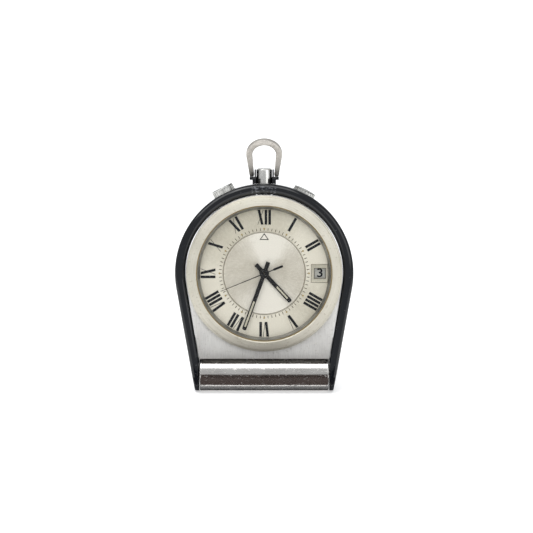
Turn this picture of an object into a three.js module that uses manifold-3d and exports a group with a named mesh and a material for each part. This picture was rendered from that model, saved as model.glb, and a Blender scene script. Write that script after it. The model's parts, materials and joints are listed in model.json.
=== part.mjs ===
// A folding travel alarm clock: a lacquered horseshoe case with a wind-up alarm movement. The case
// is hinged on the round barrel of a steel lid. Opened, the lid is the foot that the case stands on.
// Units are millimetres. The object stands on Z = 0, faces -Y, and leans back over its foot.
import * as THREE from "three";
import { mergeVertices } from "three/addons/utils/BufferGeometryUtils.js";
import Module from "manifold-3d";

const wasm = await Module();
wasm.setup();

// ---------------------------------------------------------------- driving dimensions

const LEAN = THREE.MathUtils.degToRad(15); // how far the standing case leans back

// Case outline, as seen from the front. Heights are measured from the hinge axis.
const CASE_RADIUS = 23.5;
const DIAL_HEIGHT = 26.7;
const BAND_WIDTH = 2.75; // the lacquered band round the head
const LEG_WIDTH = 1.1; // the same band at the foot of each leg
const BARREL_RADIUS = 4.6; // the lid's rolled hinge barrel, and the rounded leg ends
const BAY_HALF = 17.15; // half the space between the legs, where the barrel lies
const BAY_TOP = BARREL_RADIUS - 0.8; // the front plate ends here, above the barrel
const FIT = 0.15; // clearance of everything that drops in between the legs
const SLIP = 0.1; // clearance of pieces stacked on or screwed to each other
const RUN = 0.07; // radial clearance of a turning or sliding piece

// Front, in steps of depth: positive is towards the viewer.
const PLATE_FRONT = 4.3;
const PLATE_THICK = 0.6;
const MOVEMENT_BORE = 18.6; // radius
const BEZEL_RADIUS = CASE_RADIUS - BAND_WIDTH - 0.25;
const BEZEL_INNER = MOVEMENT_BORE - 0.75;
const BEZEL_FRONT = PLATE_FRONT + 1.7;
const CRYSTAL_RISE = 0.9;
const CRYSTAL_THICK = 0.8;
const DIAL_FRONT = PLATE_FRONT - 0.3;
const DIAL_RADIUS = MOVEMENT_BORE - 0.4;
const DIAL_THICK = 0.45;
const ALARM_DISC_RADIUS = DIAL_RADIUS * 0.596;
const ALARM_DISC_THICK = 0.2;
const ALARM_RECESS = 0.3; // the dial's centre is sunk this far for the alarm disc

// Movement
const PLATE_RADIUS = 15.0; // the plates' own radius, inside the casing ring
const MAIN_FRONT = 3.0;
const MAIN_THICK = 1.2;
const BRIDGE_FRONT = -1.0; // the face of the bridges that looks at the wheels
const BRIDGE_THICK = 1.0;
const BACK_INNER = -2.5;
const BACK_THICK = 0.9;
const LID_THICK = 1.0;

// Pendant, bow and crowns
const BOW_BAR = 1.62;
const BOW_LENGTH = 6.2; // from the bow's pivots to the centre of its ring
const BOW_DEPTH = 1.2;
const BOW_PIVOT_RISE = 2.65; // above the case's top
const BOW_TILT = THREE.MathUtils.degToRad(34); // how far the bow hangs forward
const BUTTON_RADIUS = 2.05;
const BOW_RADIUS = BUTTON_RADIUS + 2.67;
const BUTTON_TOP = 4.0;
const BUTTON_TRAVEL = 0.7;
const CROWN_ANGLE = THREE.MathUtils.degToRad(26.5); // either side of twelve
const CROWN_RADIUS = 3.0;
const CROWN_PROUD = 1.6; // how far the alarm crown stands out of the band; the winding crown less
const DOME_LOWER = 0.5;
const CROWN_DEPTH = 0.6; // depth of the crowns' axes

// ---------------------------------------------------------------- solids

const TINY = 8; // segments round a pivot or a small screw
const SMALL = 12;
const MEDIUM = 24;
const LARGE = 44;
const BEYOND = 1; // a cutter runs this far past the face that it cuts

/** A closed three.js geometry as a manifold solid. */
function solid(geometry) {
  const bare = geometry.index ? geometry.toNonIndexed() : geometry.clone();
  bare.deleteAttribute("normal");
  bare.deleteAttribute("uv");
  const merged = mergeVertices(bare, 1e-4);
  return new wasm.Manifold(
    new wasm.Mesh({
      numProp: 3,
      vertProperties: merged.attributes.position.array,
      triVerts: new Uint32Array(merged.index.array),
    }),
  );
}

/** A manifold solid back as a three.js geometry. */
function geometryOf(made) {
  const mesh = made.getMesh();
  const positions = new Float32Array(mesh.numVert * 3);
  for (let i = 0; i < mesh.numVert; i++)
    positions.set(mesh.vertProperties.subarray(i * mesh.numProp, i * mesh.numProp + 3), i * 3);
  return new THREE.BufferGeometry()
    .setAttribute("position", new THREE.BufferAttribute(positions, 3))
    .setIndex(new THREE.BufferAttribute(mesh.triVerts, 1));
}

const join = (first, ...rest) => rest.reduce((a, b) => a.add(b), first);
const cut = (first, ...rest) => rest.reduce((a, b) => a.subtract(b), first);

/** A flat shape made thick between two depths. */
function slab(shape, back, front, curveSegments = LARGE / 2) {
  const made = new THREE.ExtrudeGeometry(shape, {
    depth: front - back,
    bevelEnabled: false,
    curveSegments,
  });
  return solid(made.translate(0, 0, back));
}

/** A round rod along the depth axis. */
function rod(radius, back, front, x = 0, y = 0, segments = SMALL) {
  const made = new THREE.CylinderGeometry(radius, radius, front - back, segments);
  made.rotateX(Math.PI / 2).translate(x, y, (front + back) / 2);
  return solid(made);
}

/** A round rod along X. */
function crossRod(radius, left, right, y = 0, z = 0, segments = SMALL) {
  const made = new THREE.CylinderGeometry(radius, radius, right - left, segments);
  return solid(made.rotateZ(Math.PI / 2).translate((left + right) / 2, y, z));
}

/** A round rod along Y. */
function upright(radius, bottom, top, x = 0, z = 0, segments = SMALL) {
  const made = new THREE.CylinderGeometry(radius, radius, top - bottom, segments);
  return solid(made.translate(x, (bottom + top) / 2, z));
}

/** A washer along the depth axis. */
function washer(outer, inner, back, front, segments = LARGE) {
  return cut(
    rod(outer, back, front, 0, 0, segments),
    rod(inner, back - BEYOND, front + BEYOND, 0, 0, segments),
  );
}

/** A box given by its lowest and highest corners. */
function block(low, high) {
  const size = high.map((value, i) => value - low[i]);
  const middle = high.map((value, i) => (value + low[i]) / 2);
  return solid(new THREE.BoxGeometry(...size).translate(...middle));
}

/** A turned solid round the depth axis, from (radius, depth) points that close on themselves. */
function turned(points, segments = LARGE) {
  const profile = points.map(([radius, depth]) => new THREE.Vector2(radius, depth));
  profile.push(profile[0].clone());
  const made = solid(new THREE.LatheGeometry(profile, segments).rotateX(Math.PI / 2));
  return made.volume() < 0 ? solid(flipped(geometryOf(made))) : made;
}

/** The same surface with its faces turned round. */
function flipped(geometry) {
  const index = geometry.index.array;
  for (let i = 0; i < index.length; i += 3) {
    [index[i + 1], index[i + 2]] = [index[i + 2], index[i + 1]];
  }
  return geometry;
}

/** A wire of a given radius along a curve. */
function wire(curve, radius, steps, sides) {
  const corners = Array.from({ length: sides }, (_, i) => polar(radius, (2 * Math.PI * i) / sides));
  const section = outline(corners);
  return solid(new THREE.ExtrudeGeometry(section, { steps, extrudePath: curve, bevelEnabled: false }));
}

// ---------------------------------------------------------------- outlines

const polar = (radius, angle) => [radius * Math.cos(angle), radius * Math.sin(angle)];

/** A closed shape through a list of points. */
function outline(points) {
  return new THREE.Shape(points.map(([x, y]) => new THREE.Vector2(x, y)));
}

/** Where a line from an outside point touches a circle round the dial's centre, on the right side. */
function touchAngle(radius, x, y) {
  const [dx, dy] = [x, y - DIAL_HEIGHT];
  return Math.atan2(dy, dx) + Math.acos(radius / Math.hypot(dx, dy));
}

/** The arched outline: an arc over the dial, straight sides to a corner, then straight down. */
function arch(radius, half, corner, bottom = corner) {
  const touch = touchAngle(radius, half, corner);
  const shape = new THREE.Shape();
  shape.moveTo(half, bottom);
  if (bottom !== corner) shape.lineTo(half, corner);
  shape.lineTo(radius * Math.cos(touch), DIAL_HEIGHT + radius * Math.sin(touch));
  shape.absarc(0, DIAL_HEIGHT, radius, touch, Math.PI - touch, false);
  shape.lineTo(-half, corner);
  if (bottom !== corner) shape.lineTo(-half, bottom);
  shape.closePath();
  return shape;
}

const INNER_RADIUS = CASE_RADIUS - BAND_WIDTH;
const insideArch = (gap, bottom) => arch(INNER_RADIUS - gap, BAY_HALF - gap, BAY_TOP, bottom);

// ---------------------------------------------------------------- gears

const TIP = 0.85; // tooth height above the pitch circle, in modules
const ROOT = 1.2;

/** A toothed disc with one pointed tooth centred on the angle phase. */
function gear(teeth, module, phase, back, front) {
  const pitch = (module * teeth) / 2;
  const radii = [pitch + TIP * module, pitch - ROOT * module];
  const points = [];
  for (let i = 0; i < 2 * teeth; i++) points.push(polar(radii[i % 2], phase + (Math.PI * i) / teeth));
  return slab(outline(points), back, front, 1);
}

/** The phase that puts a gear in mesh with one at an angle away, whose own phase is given. */
function meshing(teeth, towards, otherTeeth, otherPhase) {
  const offset = ((otherPhase - towards) * otherTeeth) / (2 * Math.PI);
  return towards + Math.PI - ((offset + 0.5) * 2 * Math.PI) / teeth;
}

const CENTRE = { teeth: 48, pinion: 8 };
const THIRD = { teeth: 45, pinion: 6, towards: THREE.MathUtils.degToRad(200) };
const FOURTH = { teeth: 60, pinion: 6 };
const ESCAPE = { teeth: 15, pinion: 6, towards: THREE.MathUtils.degToRad(270) };
const BARREL = { teeth: 48, towards: THREE.MathUtils.degToRad(35) };
const CANNON = { teeth: 10 };
const MINUTE = { teeth: 30, pinion: 8, towards: THREE.MathUtils.degToRad(-40) };
const HOUR = { teeth: 32 };

const BARREL_MODULE = 0.225;
const CENTRE_MODULE = 0.2;
const ESCAPE_MODULE = 0.16;
const MOTION_MODULE = 0.16;
const distance = (module, a, b) => (module * (a + b)) / 2;
const THIRD_DISTANCE = distance(CENTRE_MODULE, CENTRE.teeth, THIRD.pinion);
const FOURTH_MODULE = (2 * THIRD_DISTANCE) / (THIRD.teeth + FOURTH.pinion);

// Places of the arbors, from the dial's centre, seen from the front.
const AT = {
  third: polar(THIRD_DISTANCE, THIRD.towards),
  escape: polar(distance(ESCAPE_MODULE, FOURTH.teeth, ESCAPE.pinion), ESCAPE.towards),
  barrel: polar(distance(BARREL_MODULE, BARREL.teeth, CENTRE.pinion), BARREL.towards),
  minute: polar(distance(MOTION_MODULE, CANNON.teeth, MINUTE.teeth), MINUTE.towards),
  pallet: [0.6, -8.32],
  balance: [1.26, -11.65],
  alarmBarrel: [-6.5, 8.0],
  hammer: [9.6, -5.6],
};
const PIVOT = 0.16; // radius of the wheels' pivots
const ARBOR = 0.22;
const DRUM_PIVOT = 0.5;
const MAIN_BACK = MAIN_FRONT - MAIN_THICK;
const BRIDGE_BACK = BRIDGE_FRONT - BRIDGE_THICK;

// ---------------------------------------------------------------- scene graph

const lacquer = { color: 0x0c0f14, roughness: 0.12, metalness: 0.0 };
const brushed = { color: 0xc9c8c6, roughness: 0.38, metalness: 1.0 };
const polished = { color: 0xd6d4d2, roughness: 0.08, metalness: 1.0 };
const silvered = { color: 0xd8d3c2, roughness: 0.34, metalness: 0.6 };
const rhodium = { color: 0xb9b7b0, roughness: 0.3, metalness: 1.0 };
const gilt = { color: 0xb8924a, roughness: 0.28, metalness: 1.0 };
const blackened = { color: 0x17181a, roughness: 0.4, metalness: 0.3 };
const clear = { color: 0xf4f6f6, roughness: 0.03, metalness: 0.0 };
const rubber = { color: 0x15130f, roughness: 0.8, metalness: 0.0 };
const white = { color: 0xe9e6da, roughness: 0.5, metalness: 0.0 };

/** A named mesh in a group, with its own material. */
function place(group, name, made, look, position = [0, 0, 0]) {
  const mesh = new THREE.Mesh(geometryOf(made), new THREE.MeshStandardMaterial(look));
  mesh.name = name;
  mesh.position.set(...position);
  group.add(mesh);
  return mesh;
}

const clock = new THREE.Group();
const LID_REACH = DIAL_HEIGHT + INNER_RADIUS - FIT * 2;
const HINGE_Y = (BARREL_RADIUS - LID_REACH) / 2; // the footprint's middle is at Y = 0

const foot = new THREE.Group(); // x right, y along the lid away from the hinge, z up
foot.position.set(0, HINGE_Y, BARREL_RADIUS);
const head = new THREE.Group(); // x right, y up the face, z out of the face
head.position.copy(foot.position);
head.rotation.x = Math.PI / 2 - LEAN;
const movement = new THREE.Group(); // the same axes, from the dial's centre
movement.position.set(0, DIAL_HEIGHT, 0);
clock.add(foot, head);
head.add(movement);

// ---------------------------------------------------------------- the lid and its hinge

const BARREL_HALF = BAY_HALF - FIT;
const TUBE_WALL = 0.7;
const TUBE_INNER = BARREL_RADIUS - TUBE_WALL;
const PLUG_LENGTH = 2.2;
const PIN_RADIUS = 1.0;
const SPRING_RADIUS = 2.3;
const SPRING_WIRE = 0.35;
const SPRING_TURNS = 7;
const STOP_RADIUS = 0.45;
const STOP_ORBIT = 2.6;
const STOP_DEPTH = 1.2; // depth of the slot that the stop stud travels in
const STOP_SPARE = 0.06; // play at each end of that slot, in radians
const CATCH_HALF = 1.8; // half width of the catch
const CATCH_FRONT = 1.2; // depth of its front end
const CATCH_NOTCH = 1.5; // how far the lid's edge is cut back for the catch

/** The lid: an arched plate whose hinge edge is rolled into a tube. */
function lidStand() {
  const plate = slab(insideArch(FIT * 2, 0), -BARREL_RADIUS, -BARREL_RADIUS + LID_THICK);
  const tube = crossRod(BARREL_RADIUS, -BARREL_HALF, BARREL_HALF, 0, 0, LARGE);
  const hollow = crossRod(TUBE_INNER, -BARREL_HALF - BEYOND, BARREL_HALF + BEYOND, 0, 0, MEDIUM);
  const notch = block(
    [-CATCH_HALF - FIT, LID_REACH - CATCH_NOTCH, -BARREL_RADIUS - BEYOND],
    [CATCH_HALF + FIT, LID_REACH + BEYOND, 0],
  );
  return cut(join(plate, tube), hollow, notch);
}

/** A span along X between two distances from the middle, on one side of it. */
const onSide = (side, near, far) => (side < 0 ? [-far, -near] : [near, far]);

/** A plug in one end of the tube, bored for the pivot. */
function barrelPlug(side) {
  const span = onSide(side, BARREL_HALF - PLUG_LENGTH, BARREL_HALF);
  const body = crossRod(TUBE_INNER - SLIP, ...span, 0, 0, MEDIUM);
  const bore = onSide(side, BARREL_HALF - PLUG_LENGTH - BEYOND, BARREL_HALF + BEYOND);
  return cut(body, crossRod(PIN_RADIUS + RUN, ...bore, 0, 0, MEDIUM));
}

/** The curved slot in which the case's stop stud travels from closed to open. */
function stopSlot(side) {
  const half = Math.asin(STOP_RADIUS / STOP_ORBIT) + STOP_SPARE;
  const [start, end] = [LEAN - half, Math.PI / 2 + half];
  const shape = new THREE.Shape();
  shape.absarc(0, 0, STOP_ORBIT + STOP_RADIUS + RUN, start, end, false);
  shape.absarc(0, 0, STOP_ORBIT - STOP_RADIUS - RUN, end, start, true);
  shape.closePath();
  const made = geometryOf(slab(shape, 0, STOP_DEPTH + BEYOND, SMALL));
  made.rotateY(side * (Math.PI / 2)).translate(side * (BARREL_HALF - STOP_DEPTH), 0, 0);
  return solid(made);
}

/** The torsion spring that throws the case open. */
function hingeSpring() {
  const length = 2 * (BARREL_HALF - PLUG_LENGTH) - 4;
  class Coil extends THREE.Curve {
    getPoint(t, target = new THREE.Vector3()) {
      const [y, z] = polar(SPRING_RADIUS, 2 * Math.PI * SPRING_TURNS * t);
      return target.set((t - 0.5) * length, y, z);
    }
  }
  return wire(new Coil(), SPRING_WIRE, SPRING_TURNS * 10, 5);
}

place(foot, "lid_stand", lidStand(), brushed);
place(foot, "barrel_plug_left", cut(barrelPlug(-1), stopSlot(-1)), brushed);
place(foot, "barrel_plug_right", barrelPlug(1), brushed);
place(foot, "hinge_spring", hingeSpring(), rhodium);

// ---------------------------------------------------------------- the case

const BAND_ROUND = 0.9;
const CROWN_POCKET = CROWN_RADIUS + 0.25; // radius of the pocket that a crown sits in
const POCKET_FLOOR = CASE_RADIUS - 1.15; // distance of its floor from the dial's centre
const TUBE_RADIUS = 1.0;
const STEM_RADIUS = 0.55;
const BUTTON_WELL = BUTTON_TRAVEL + 0.4; // how far below the case's top the button's well goes
const CASE_TOP = DIAL_HEIGHT + CASE_RADIUS;
const BUTTON_STEM = 0.7;
const SCREW_HEAD = 1.6;
const SCREW_HEAD_THICK = 0.6;
const LEG_BOTTOM_HALF = BAY_HALF + LEG_WIDTH;

/** A solid set along the axis of a crown: it is modelled upright and turned to the crown's side. */
function atCrown(made, side) {
  const turn = new THREE.Matrix4()
    .makeTranslation(0, DIAL_HEIGHT, CROWN_DEPTH)
    .multiply(new THREE.Matrix4().makeRotationZ(-side * CROWN_ANGLE));
  return solid(geometryOf(made).applyMatrix4(turn));
}

/** Half the width over the legs at the hinge, where the pivot screws' heads sit. */
const LEG_OUTER =
  LEG_BOTTOM_HALF - BARREL_RADIUS * Math.tan(touchAngle(CASE_RADIUS, LEG_BOTTOM_HALF, -BARREL_RADIUS));

/** The lacquered horseshoe band with its round leg ends, crown pockets and button well. */
function caseBand() {
  const outer = arch(CASE_RADIUS - BAND_ROUND, LEG_BOTTOM_HALF - BAND_ROUND, -BARREL_RADIUS);
  const rounded = new THREE.ExtrudeGeometry(outer, {
    depth: 2 * (BARREL_RADIUS - BAND_ROUND),
    bevelEnabled: true,
    bevelSize: BAND_ROUND,
    bevelThickness: BAND_ROUND,
    bevelSegments: 2,
    curveSegments: LARGE / 2,
  });
  const body = solid(rounded.translate(0, 0, -(BARREL_RADIUS - BAND_ROUND)));
  const inner = slab(insideArch(0, -2 * BARREL_RADIUS), -BARREL_RADIUS - BEYOND, BARREL_RADIUS + BEYOND);
  const reach = CASE_RADIUS + BEYOND;
  const sides = join(
    block([-reach, 0, -BARREL_RADIUS], [reach, CASE_TOP + BEYOND, BARREL_RADIUS]),
    crossRod(BARREL_RADIUS, -reach, reach, 0, 0, LARGE),
  );
  const well = upright(BUTTON_RADIUS + FIT, CASE_TOP - BUTTON_WELL, CASE_TOP + BEYOND, 0, 0, MEDIUM);
  const stemHole = upright(BUTTON_STEM + RUN, CASE_TOP - 2 * BAND_WIDTH, CASE_TOP, 0, 0, SMALL);
  const cuts = [inner, well, stemHole];
  for (const side of [-1, 1]) {
    cuts.push(atCrown(upright(CROWN_POCKET, POCKET_FLOOR, CASE_RADIUS + 2, 0, 0, MEDIUM), side));
    cuts.push(atCrown(upright(TUBE_RADIUS + SLIP, INNER_RADIUS - 2, CASE_RADIUS, 0, 0, SMALL), side));
    cuts.push(crossRod(PIN_RADIUS + SLIP, ...onSide(side, BAY_HALF - BEYOND, reach)));
    const sunk = LEG_OUTER - SCREW_HEAD_THICK - SLIP;
    cuts.push(crossRod(SCREW_HEAD + SLIP, ...onSide(side, sunk, reach), 0, 0, MEDIUM));
  }
  const studSpan = onSide(-1, BARREL_HALF - STOP_DEPTH + FIT, BAY_HALF + 0.5);
  const stud = crossRod(STOP_RADIUS, ...studSpan, STOP_ORBIT);
  return join(cut(body.intersect(sides), ...cuts), stud);
}

/** A pivot screw: a slotted head sunk in a leg, and a plain pin that the barrel turns on. */
function hingeScrew(side) {
  const [under, top] = [LEG_OUTER - SCREW_HEAD_THICK, LEG_OUTER - SLIP];
  const tip = BARREL_HALF - PLUG_LENGTH - 0.3;
  const head = crossRod(SCREW_HEAD, ...onSide(side, under, top), 0, 0, MEDIUM);
  const pin = crossRod(PIN_RADIUS, ...onSide(side, tip, top - 0.2), 0, 0, MEDIUM);
  const [left, right] = onSide(side, top - 0.3, top + BEYOND);
  return cut(join(head, pin), block([left, -2, -0.2], [right, 2, 0.2]));
}

const CASE_FLOOR = BAY_TOP + 1.75; // the inner case ends here, clear of the barrel
const CATCH_ROOM = 1.75; // depth, below the band, of the pocket that the catch moves in
const HAMMER_STUD = [13.4, 0.6]; // from the dial's centre
const STUD_RADIUS = 0.5;

/** The steel inner case that holds the movement: an arched block with a round bore. */
function innerCase() {
  const [back, front] = [BACK_INNER + SLIP, PLATE_FRONT - PLATE_THICK - SLIP];
  const body = slab(arch(INNER_RADIUS - FIT, BAY_HALF - FIT, CASE_FLOOR), back, front);
  const bore = rod(MOVEMENT_BORE, back - BEYOND, front + BEYOND, 0, DIAL_HEIGHT, LARGE);
  const pocket = block(
    [-CATCH_HALF - 0.4, CASE_TOP - BAND_WIDTH - CATCH_ROOM, back - BEYOND],
    [CATCH_HALF + 0.4, CASE_TOP, CATCH_FRONT + 0.4],
  );
  const cuts = [bore, pocket];
  for (const side of [-1, 1])
    cuts.push(atCrown(upright(TUBE_RADIUS + SLIP, MOVEMENT_BORE - 2, CASE_RADIUS, 0, 0, SMALL), side));
  return cut(body, ...cuts);
}

/** The brushed plate that fills the front between the legs, with the opening for the dial. */
function frontPlate() {
  const plate = slab(insideArch(FIT, BAY_TOP), PLATE_FRONT - PLATE_THICK, PLATE_FRONT);
  const opening = rod(MOVEMENT_BORE, 0, PLATE_FRONT + BEYOND, 0, DIAL_HEIGHT, LARGE);
  return cut(plate, opening);
}

/** The back cover, with the stud that the alarm hammer strikes. */
function caseBack() {
  const back = BACK_INNER - BACK_THICK;
  const cover = slab(arch(INNER_RADIUS - 2 * FIT, BAY_HALF - 2 * FIT, CASE_FLOOR), back, BACK_INNER);
  const notch = block(
    [-CATCH_HALF - 0.4, CASE_TOP - BAND_WIDTH - CATCH_ROOM, back - BEYOND],
    [CATCH_HALF + 0.4, CASE_TOP, BACK_INNER + BEYOND],
  );
  const [x, y] = [HAMMER_STUD[0], HAMMER_STUD[1] + DIAL_HEIGHT];
  const stud = rod(STUD_RADIUS, BACK_INNER - 0.2, BRIDGE_FRONT + 2.0, x, y);
  return join(cut(cover, notch), stud);
}

const EAR_IN = BUTTON_RADIUS + 0.1;
const EAR_OUT = BUTTON_RADIUS + 0.5;
const BOW_FOOT_IN = EAR_OUT + FIT;
const BOW_FOOT_OUT = BOW_FOOT_IN + 1.15;
const BOW_FOOT_ROUND = 0.75;
const BOW_PIN = 0.35;
const YOKE_TOP = BOW_PIVOT_RISE - BOW_FOOT_ROUND - FIT; // of the yoke's bar, under the bow's feet

/** The black yoke on top of the band: a bar with two ears that the bow turns on. */
function pendantYoke() {
  const [low, bar] = [CASE_TOP - 0.5, CASE_TOP + YOKE_TOP];
  const [half, deep] = [BOW_FOOT_OUT - 0.75, BUTTON_RADIUS + 0.65];
  const neck = block([-half, low, -deep], [half, bar - 0.3, deep]);
  const rest = block([-BOW_FOOT_OUT, bar - 0.8, -1.3], [BOW_FOOT_OUT, bar, 1.3]);
  const earTop = CASE_TOP + BUTTON_TOP - 0.3;
  const ears = [
    block([-EAR_OUT, low + 0.2, -1.5], [-EAR_IN, earTop, 1.5]),
    block([EAR_IN, low + 0.2, -1.5], [EAR_OUT, earTop, 1.5]),
  ];
  const band = rod(CASE_RADIUS + SLIP, -BARREL_RADIUS, BARREL_RADIUS, 0, DIAL_HEIGHT, 3 * LARGE);
  const well = upright(BUTTON_RADIUS + RUN, low - BEYOND, CASE_TOP + BUTTON_TOP, 0, 0, MEDIUM);
  const front = block([-EAR_IN, CASE_TOP + 0.1, 0], [EAR_IN, earTop + BEYOND, BARREL_RADIUS]);
  return cut(join(neck, rest, ...ears), band, well, front);
}

/** The bow, from its pivots up: a flat horseshoe whose feet hang on the yoke's ears. */
function bow() {
  const lean = Math.atan2(BOW_RADIUS - BOW_FOOT_OUT, BOW_LENGTH);
  const shape = new THREE.Shape();
  shape.moveTo(BOW_FOOT_OUT, -BOW_FOOT_ROUND);
  shape.absarc(0, BOW_LENGTH, BOW_RADIUS, -lean, Math.PI + lean, false);
  shape.lineTo(-BOW_FOOT_OUT, -BOW_FOOT_ROUND);
  shape.lineTo(-BOW_FOOT_IN, -BOW_FOOT_ROUND);
  shape.absarc(0, BOW_LENGTH, BOW_RADIUS - BOW_BAR, Math.PI + lean, -lean, true);
  shape.lineTo(BOW_FOOT_IN, -BOW_FOOT_ROUND);
  shape.closePath();
  const flat = slab(shape, -BOW_DEPTH / 2, BOW_DEPTH / 2, MEDIUM);
  const reach = BOW_RADIUS + BEYOND;
  const rounded = join(
    crossRod(BOW_FOOT_ROUND, -reach, reach, 0, 0, MEDIUM),
    block([-reach, 0, -BOW_DEPTH], [reach, BOW_LENGTH + reach, BOW_DEPTH]),
  );
  return cut(flat.intersect(rounded), crossRod(BOW_PIN + RUN, -reach, reach, 0, 0, TINY));
}

/** One of the two pins that join the bow's feet to the yoke's ears. */
function bowPin(side) {
  const [near, far] = [EAR_OUT + SLIP / 2, BOW_FOOT_OUT + SLIP];
  return crossRod(BOW_PIN, ...(side < 0 ? [-far, -near] : [near, far]), 0, 0, TINY);
}

place(head, "case_band", caseBand(), lacquer);
place(head, "inner_case", innerCase(), brushed);
place(head, "front_plate", frontPlate(), brushed);
place(head, "case_back", caseBack(), brushed);
place(head, "hinge_screw_left", hingeScrew(-1), polished);
place(head, "hinge_screw_right", hingeScrew(1), polished);
place(head, "pendant_yoke", pendantYoke(), lacquer);
place(head, "bow", bow(), polished, [0, CASE_TOP + BOW_PIVOT_RISE, 0]).rotation.x = BOW_TILT;
place(head, "bow_pin_left", bowPin(-1), polished, [0, CASE_TOP + BOW_PIVOT_RISE, 0]);
place(head, "bow_pin_right", bowPin(1), polished, [0, CASE_TOP + BOW_PIVOT_RISE, 0]);

// ---------------------------------------------------------------- the button and its catch

const STEM_END = -BAND_WIDTH - 0.25; // below the case's top
const CATCH_THICK = 0.6;
const BUTTON_COIL = 1.35; // radius of the button's spring
const BUTTON_WIRE = 0.1;
const BUTTON_TURNS = 1.2;

/** The polished button with the stem that carries the catch. */
function releaseButton() {
  return join(
    upright(BUTTON_RADIUS, -0.2, BUTTON_TOP, 0, 0, MEDIUM),
    upright(BUTTON_STEM, STEM_END, 0, 0, 0, SMALL),
  );
}

/** The catch: a strip under the stem whose nose reaches into the notch of the closed lid. */
function lidCatch() {
  const top = STEM_END - 0.05;
  const back = 0.1 - BARREL_RADIUS;
  const strip = block([-CATCH_HALF, top - CATCH_THICK, back], [CATCH_HALF, top, CATCH_FRONT]);
  const nose = block([-CATCH_HALF, top - 0.1, back], [CATCH_HALF, top + 0.15, LID_THICK + back]);
  return join(strip, nose);
}

/** The coil that pushes the button out again. */
function buttonSpring() {
  const [bottom, top] = [-BUTTON_WELL + 0.3, -0.45];
  class Coil extends THREE.Curve {
    getPoint(t, target = new THREE.Vector3()) {
      const [x, z] = polar(BUTTON_COIL, 2 * Math.PI * BUTTON_TURNS * t);
      return target.set(x, bottom + (top - bottom) * t, z);
    }
  }
  return wire(new Coil(), BUTTON_WIRE, 24, 6);
}

place(head, "release_button", releaseButton(), polished, [0, CASE_TOP, 0]);
place(head, "lid_catch", lidCatch(), rhodium, [0, CASE_TOP, 0]);
place(head, "button_spring", buttonSpring(), rhodium, [0, CASE_TOP, 0]);

// ---------------------------------------------------------------- crowns and stems

const FLUTES = 22;
const CAP_THICK = 0.45;
const STEM_INNER = PLATE_RADIUS - 0.4; // distance of the stems' inner ends from the dial's centre
const LEVER_AT = PLATE_RADIUS + 0.4;

/** A crown's fluted body. */
function fluted(bottom, top) {
  const points = Array.from({ length: FLUTES * 2 }, (_, i) =>
    polar(i % 2 ? CROWN_RADIUS - 0.22 : CROWN_RADIUS, (Math.PI * i) / FLUTES),
  );
  const made = new THREE.ExtrudeGeometry(outline(points), { depth: top - bottom, bevelEnabled: false });
  return solid(made.rotateX(-Math.PI / 2).translate(0, bottom, 0));
}

/** A crown, upright on its own axis: the alarm crown has a flat cap, the winding crown a domed one. */
function crown(domed) {
  const bottom = POCKET_FLOOR + 0.25;
  const rim = CROWN_RADIUS - 0.1;
  const top = CASE_RADIUS + CROWN_PROUD - CAP_THICK - (domed ? DOME_LOWER : 0);
  const edge = domed
    ? [[rim, top], [rim * 0.75, top + 0.3], [rim * 0.4, top + 0.4]]
    : [[rim, top + CAP_THICK - 0.15], [rim - 0.2, top + CAP_THICK]];
  const profile = [[0, top - 0.2], [rim, top - 0.2], ...edge, [0, top + CAP_THICK]];
  const cap = solid(new THREE.LatheGeometry(profile.map((at) => new THREE.Vector2(...at)), MEDIUM));
  const hole = upright(TUBE_RADIUS + FIT, bottom - BEYOND, bottom + 0.8, 0, 0, SMALL);
  return cut(join(fluted(bottom, top), cap), hole);
}

/** A stem with the groove that the setting lever holds. */
function stem() {
  const top = POCKET_FLOOR + 0.95;
  const groove = cut(
    upright(STEM_RADIUS + BEYOND, LEVER_AT - 0.25, LEVER_AT + 0.25),
    upright(STEM_RADIUS / 2, LEVER_AT - BEYOND, LEVER_AT + BEYOND),
  );
  return cut(upright(STEM_RADIUS, STEM_INNER, top), groove);
}

/** The tube in the band's wall that a stem runs in. */
function crownTube() {
  return cut(
    upright(TUBE_RADIUS, MOVEMENT_BORE + 0.1, POCKET_FLOOR + 0.15),
    upright(STEM_RADIUS + RUN, MOVEMENT_BORE - BEYOND, CASE_RADIUS),
  );
}

/** The setting lever: a fork in the stem's groove. */
function settingLever() {
  const half = STEM_RADIUS / 2 + RUN;
  const arm = block([-0.9, LEVER_AT - 0.15, -0.8], [0.9, LEVER_AT + 0.15, 0.8]);
  return cut(arm, block([-half, LEVER_AT - BEYOND, -half], [half, LEVER_AT + BEYOND, BEYOND]));
}

for (const [name, side, domed] of [["alarm", -1, false], ["winding", 1, true]]) {
  const axis = new THREE.Group(); // y out along the crown's axis
  axis.position.set(0, 0, CROWN_DEPTH);
  axis.rotation.z = -side * CROWN_ANGLE;
  movement.add(axis);
  place(axis, `${name}_crown`, crown(domed), polished);
  place(axis, `${name}_stem`, stem(), rhodium);
  place(axis, `${name}_crown_tube`, crownTube(), brushed);
  place(axis, `${name}_setting_lever`, settingLever(), rhodium);
}

// ---------------------------------------------------------------- bezel, crystal and dial

const BEZEL_SEAT = PLATE_FRONT + SLIP;
const CRYSTAL_EDGE = BEZEL_FRONT - 0.2;
const CRYSTAL_SKIRT = DIAL_FRONT + 0.95;
const REHAUT_TOP = CRYSTAL_SKIRT - 0.05;
const REHAUT_FOOT = BEZEL_INNER - 1; // inner radius of the flange where it meets the dial
const DATE_RADIUS = DIAL_RADIUS - 3.55; // of the date window's middle
const DATE_WIDTH = 3.2;
const DATE_HEIGHT = 2.85;
const DATE_FRAME = 0.65; // width of the window's frame on the side of the dial's centre
const DATE_FRAME_OUTER = 0.35;
const DATE_FRAME_SIDE = 0.9;

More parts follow.
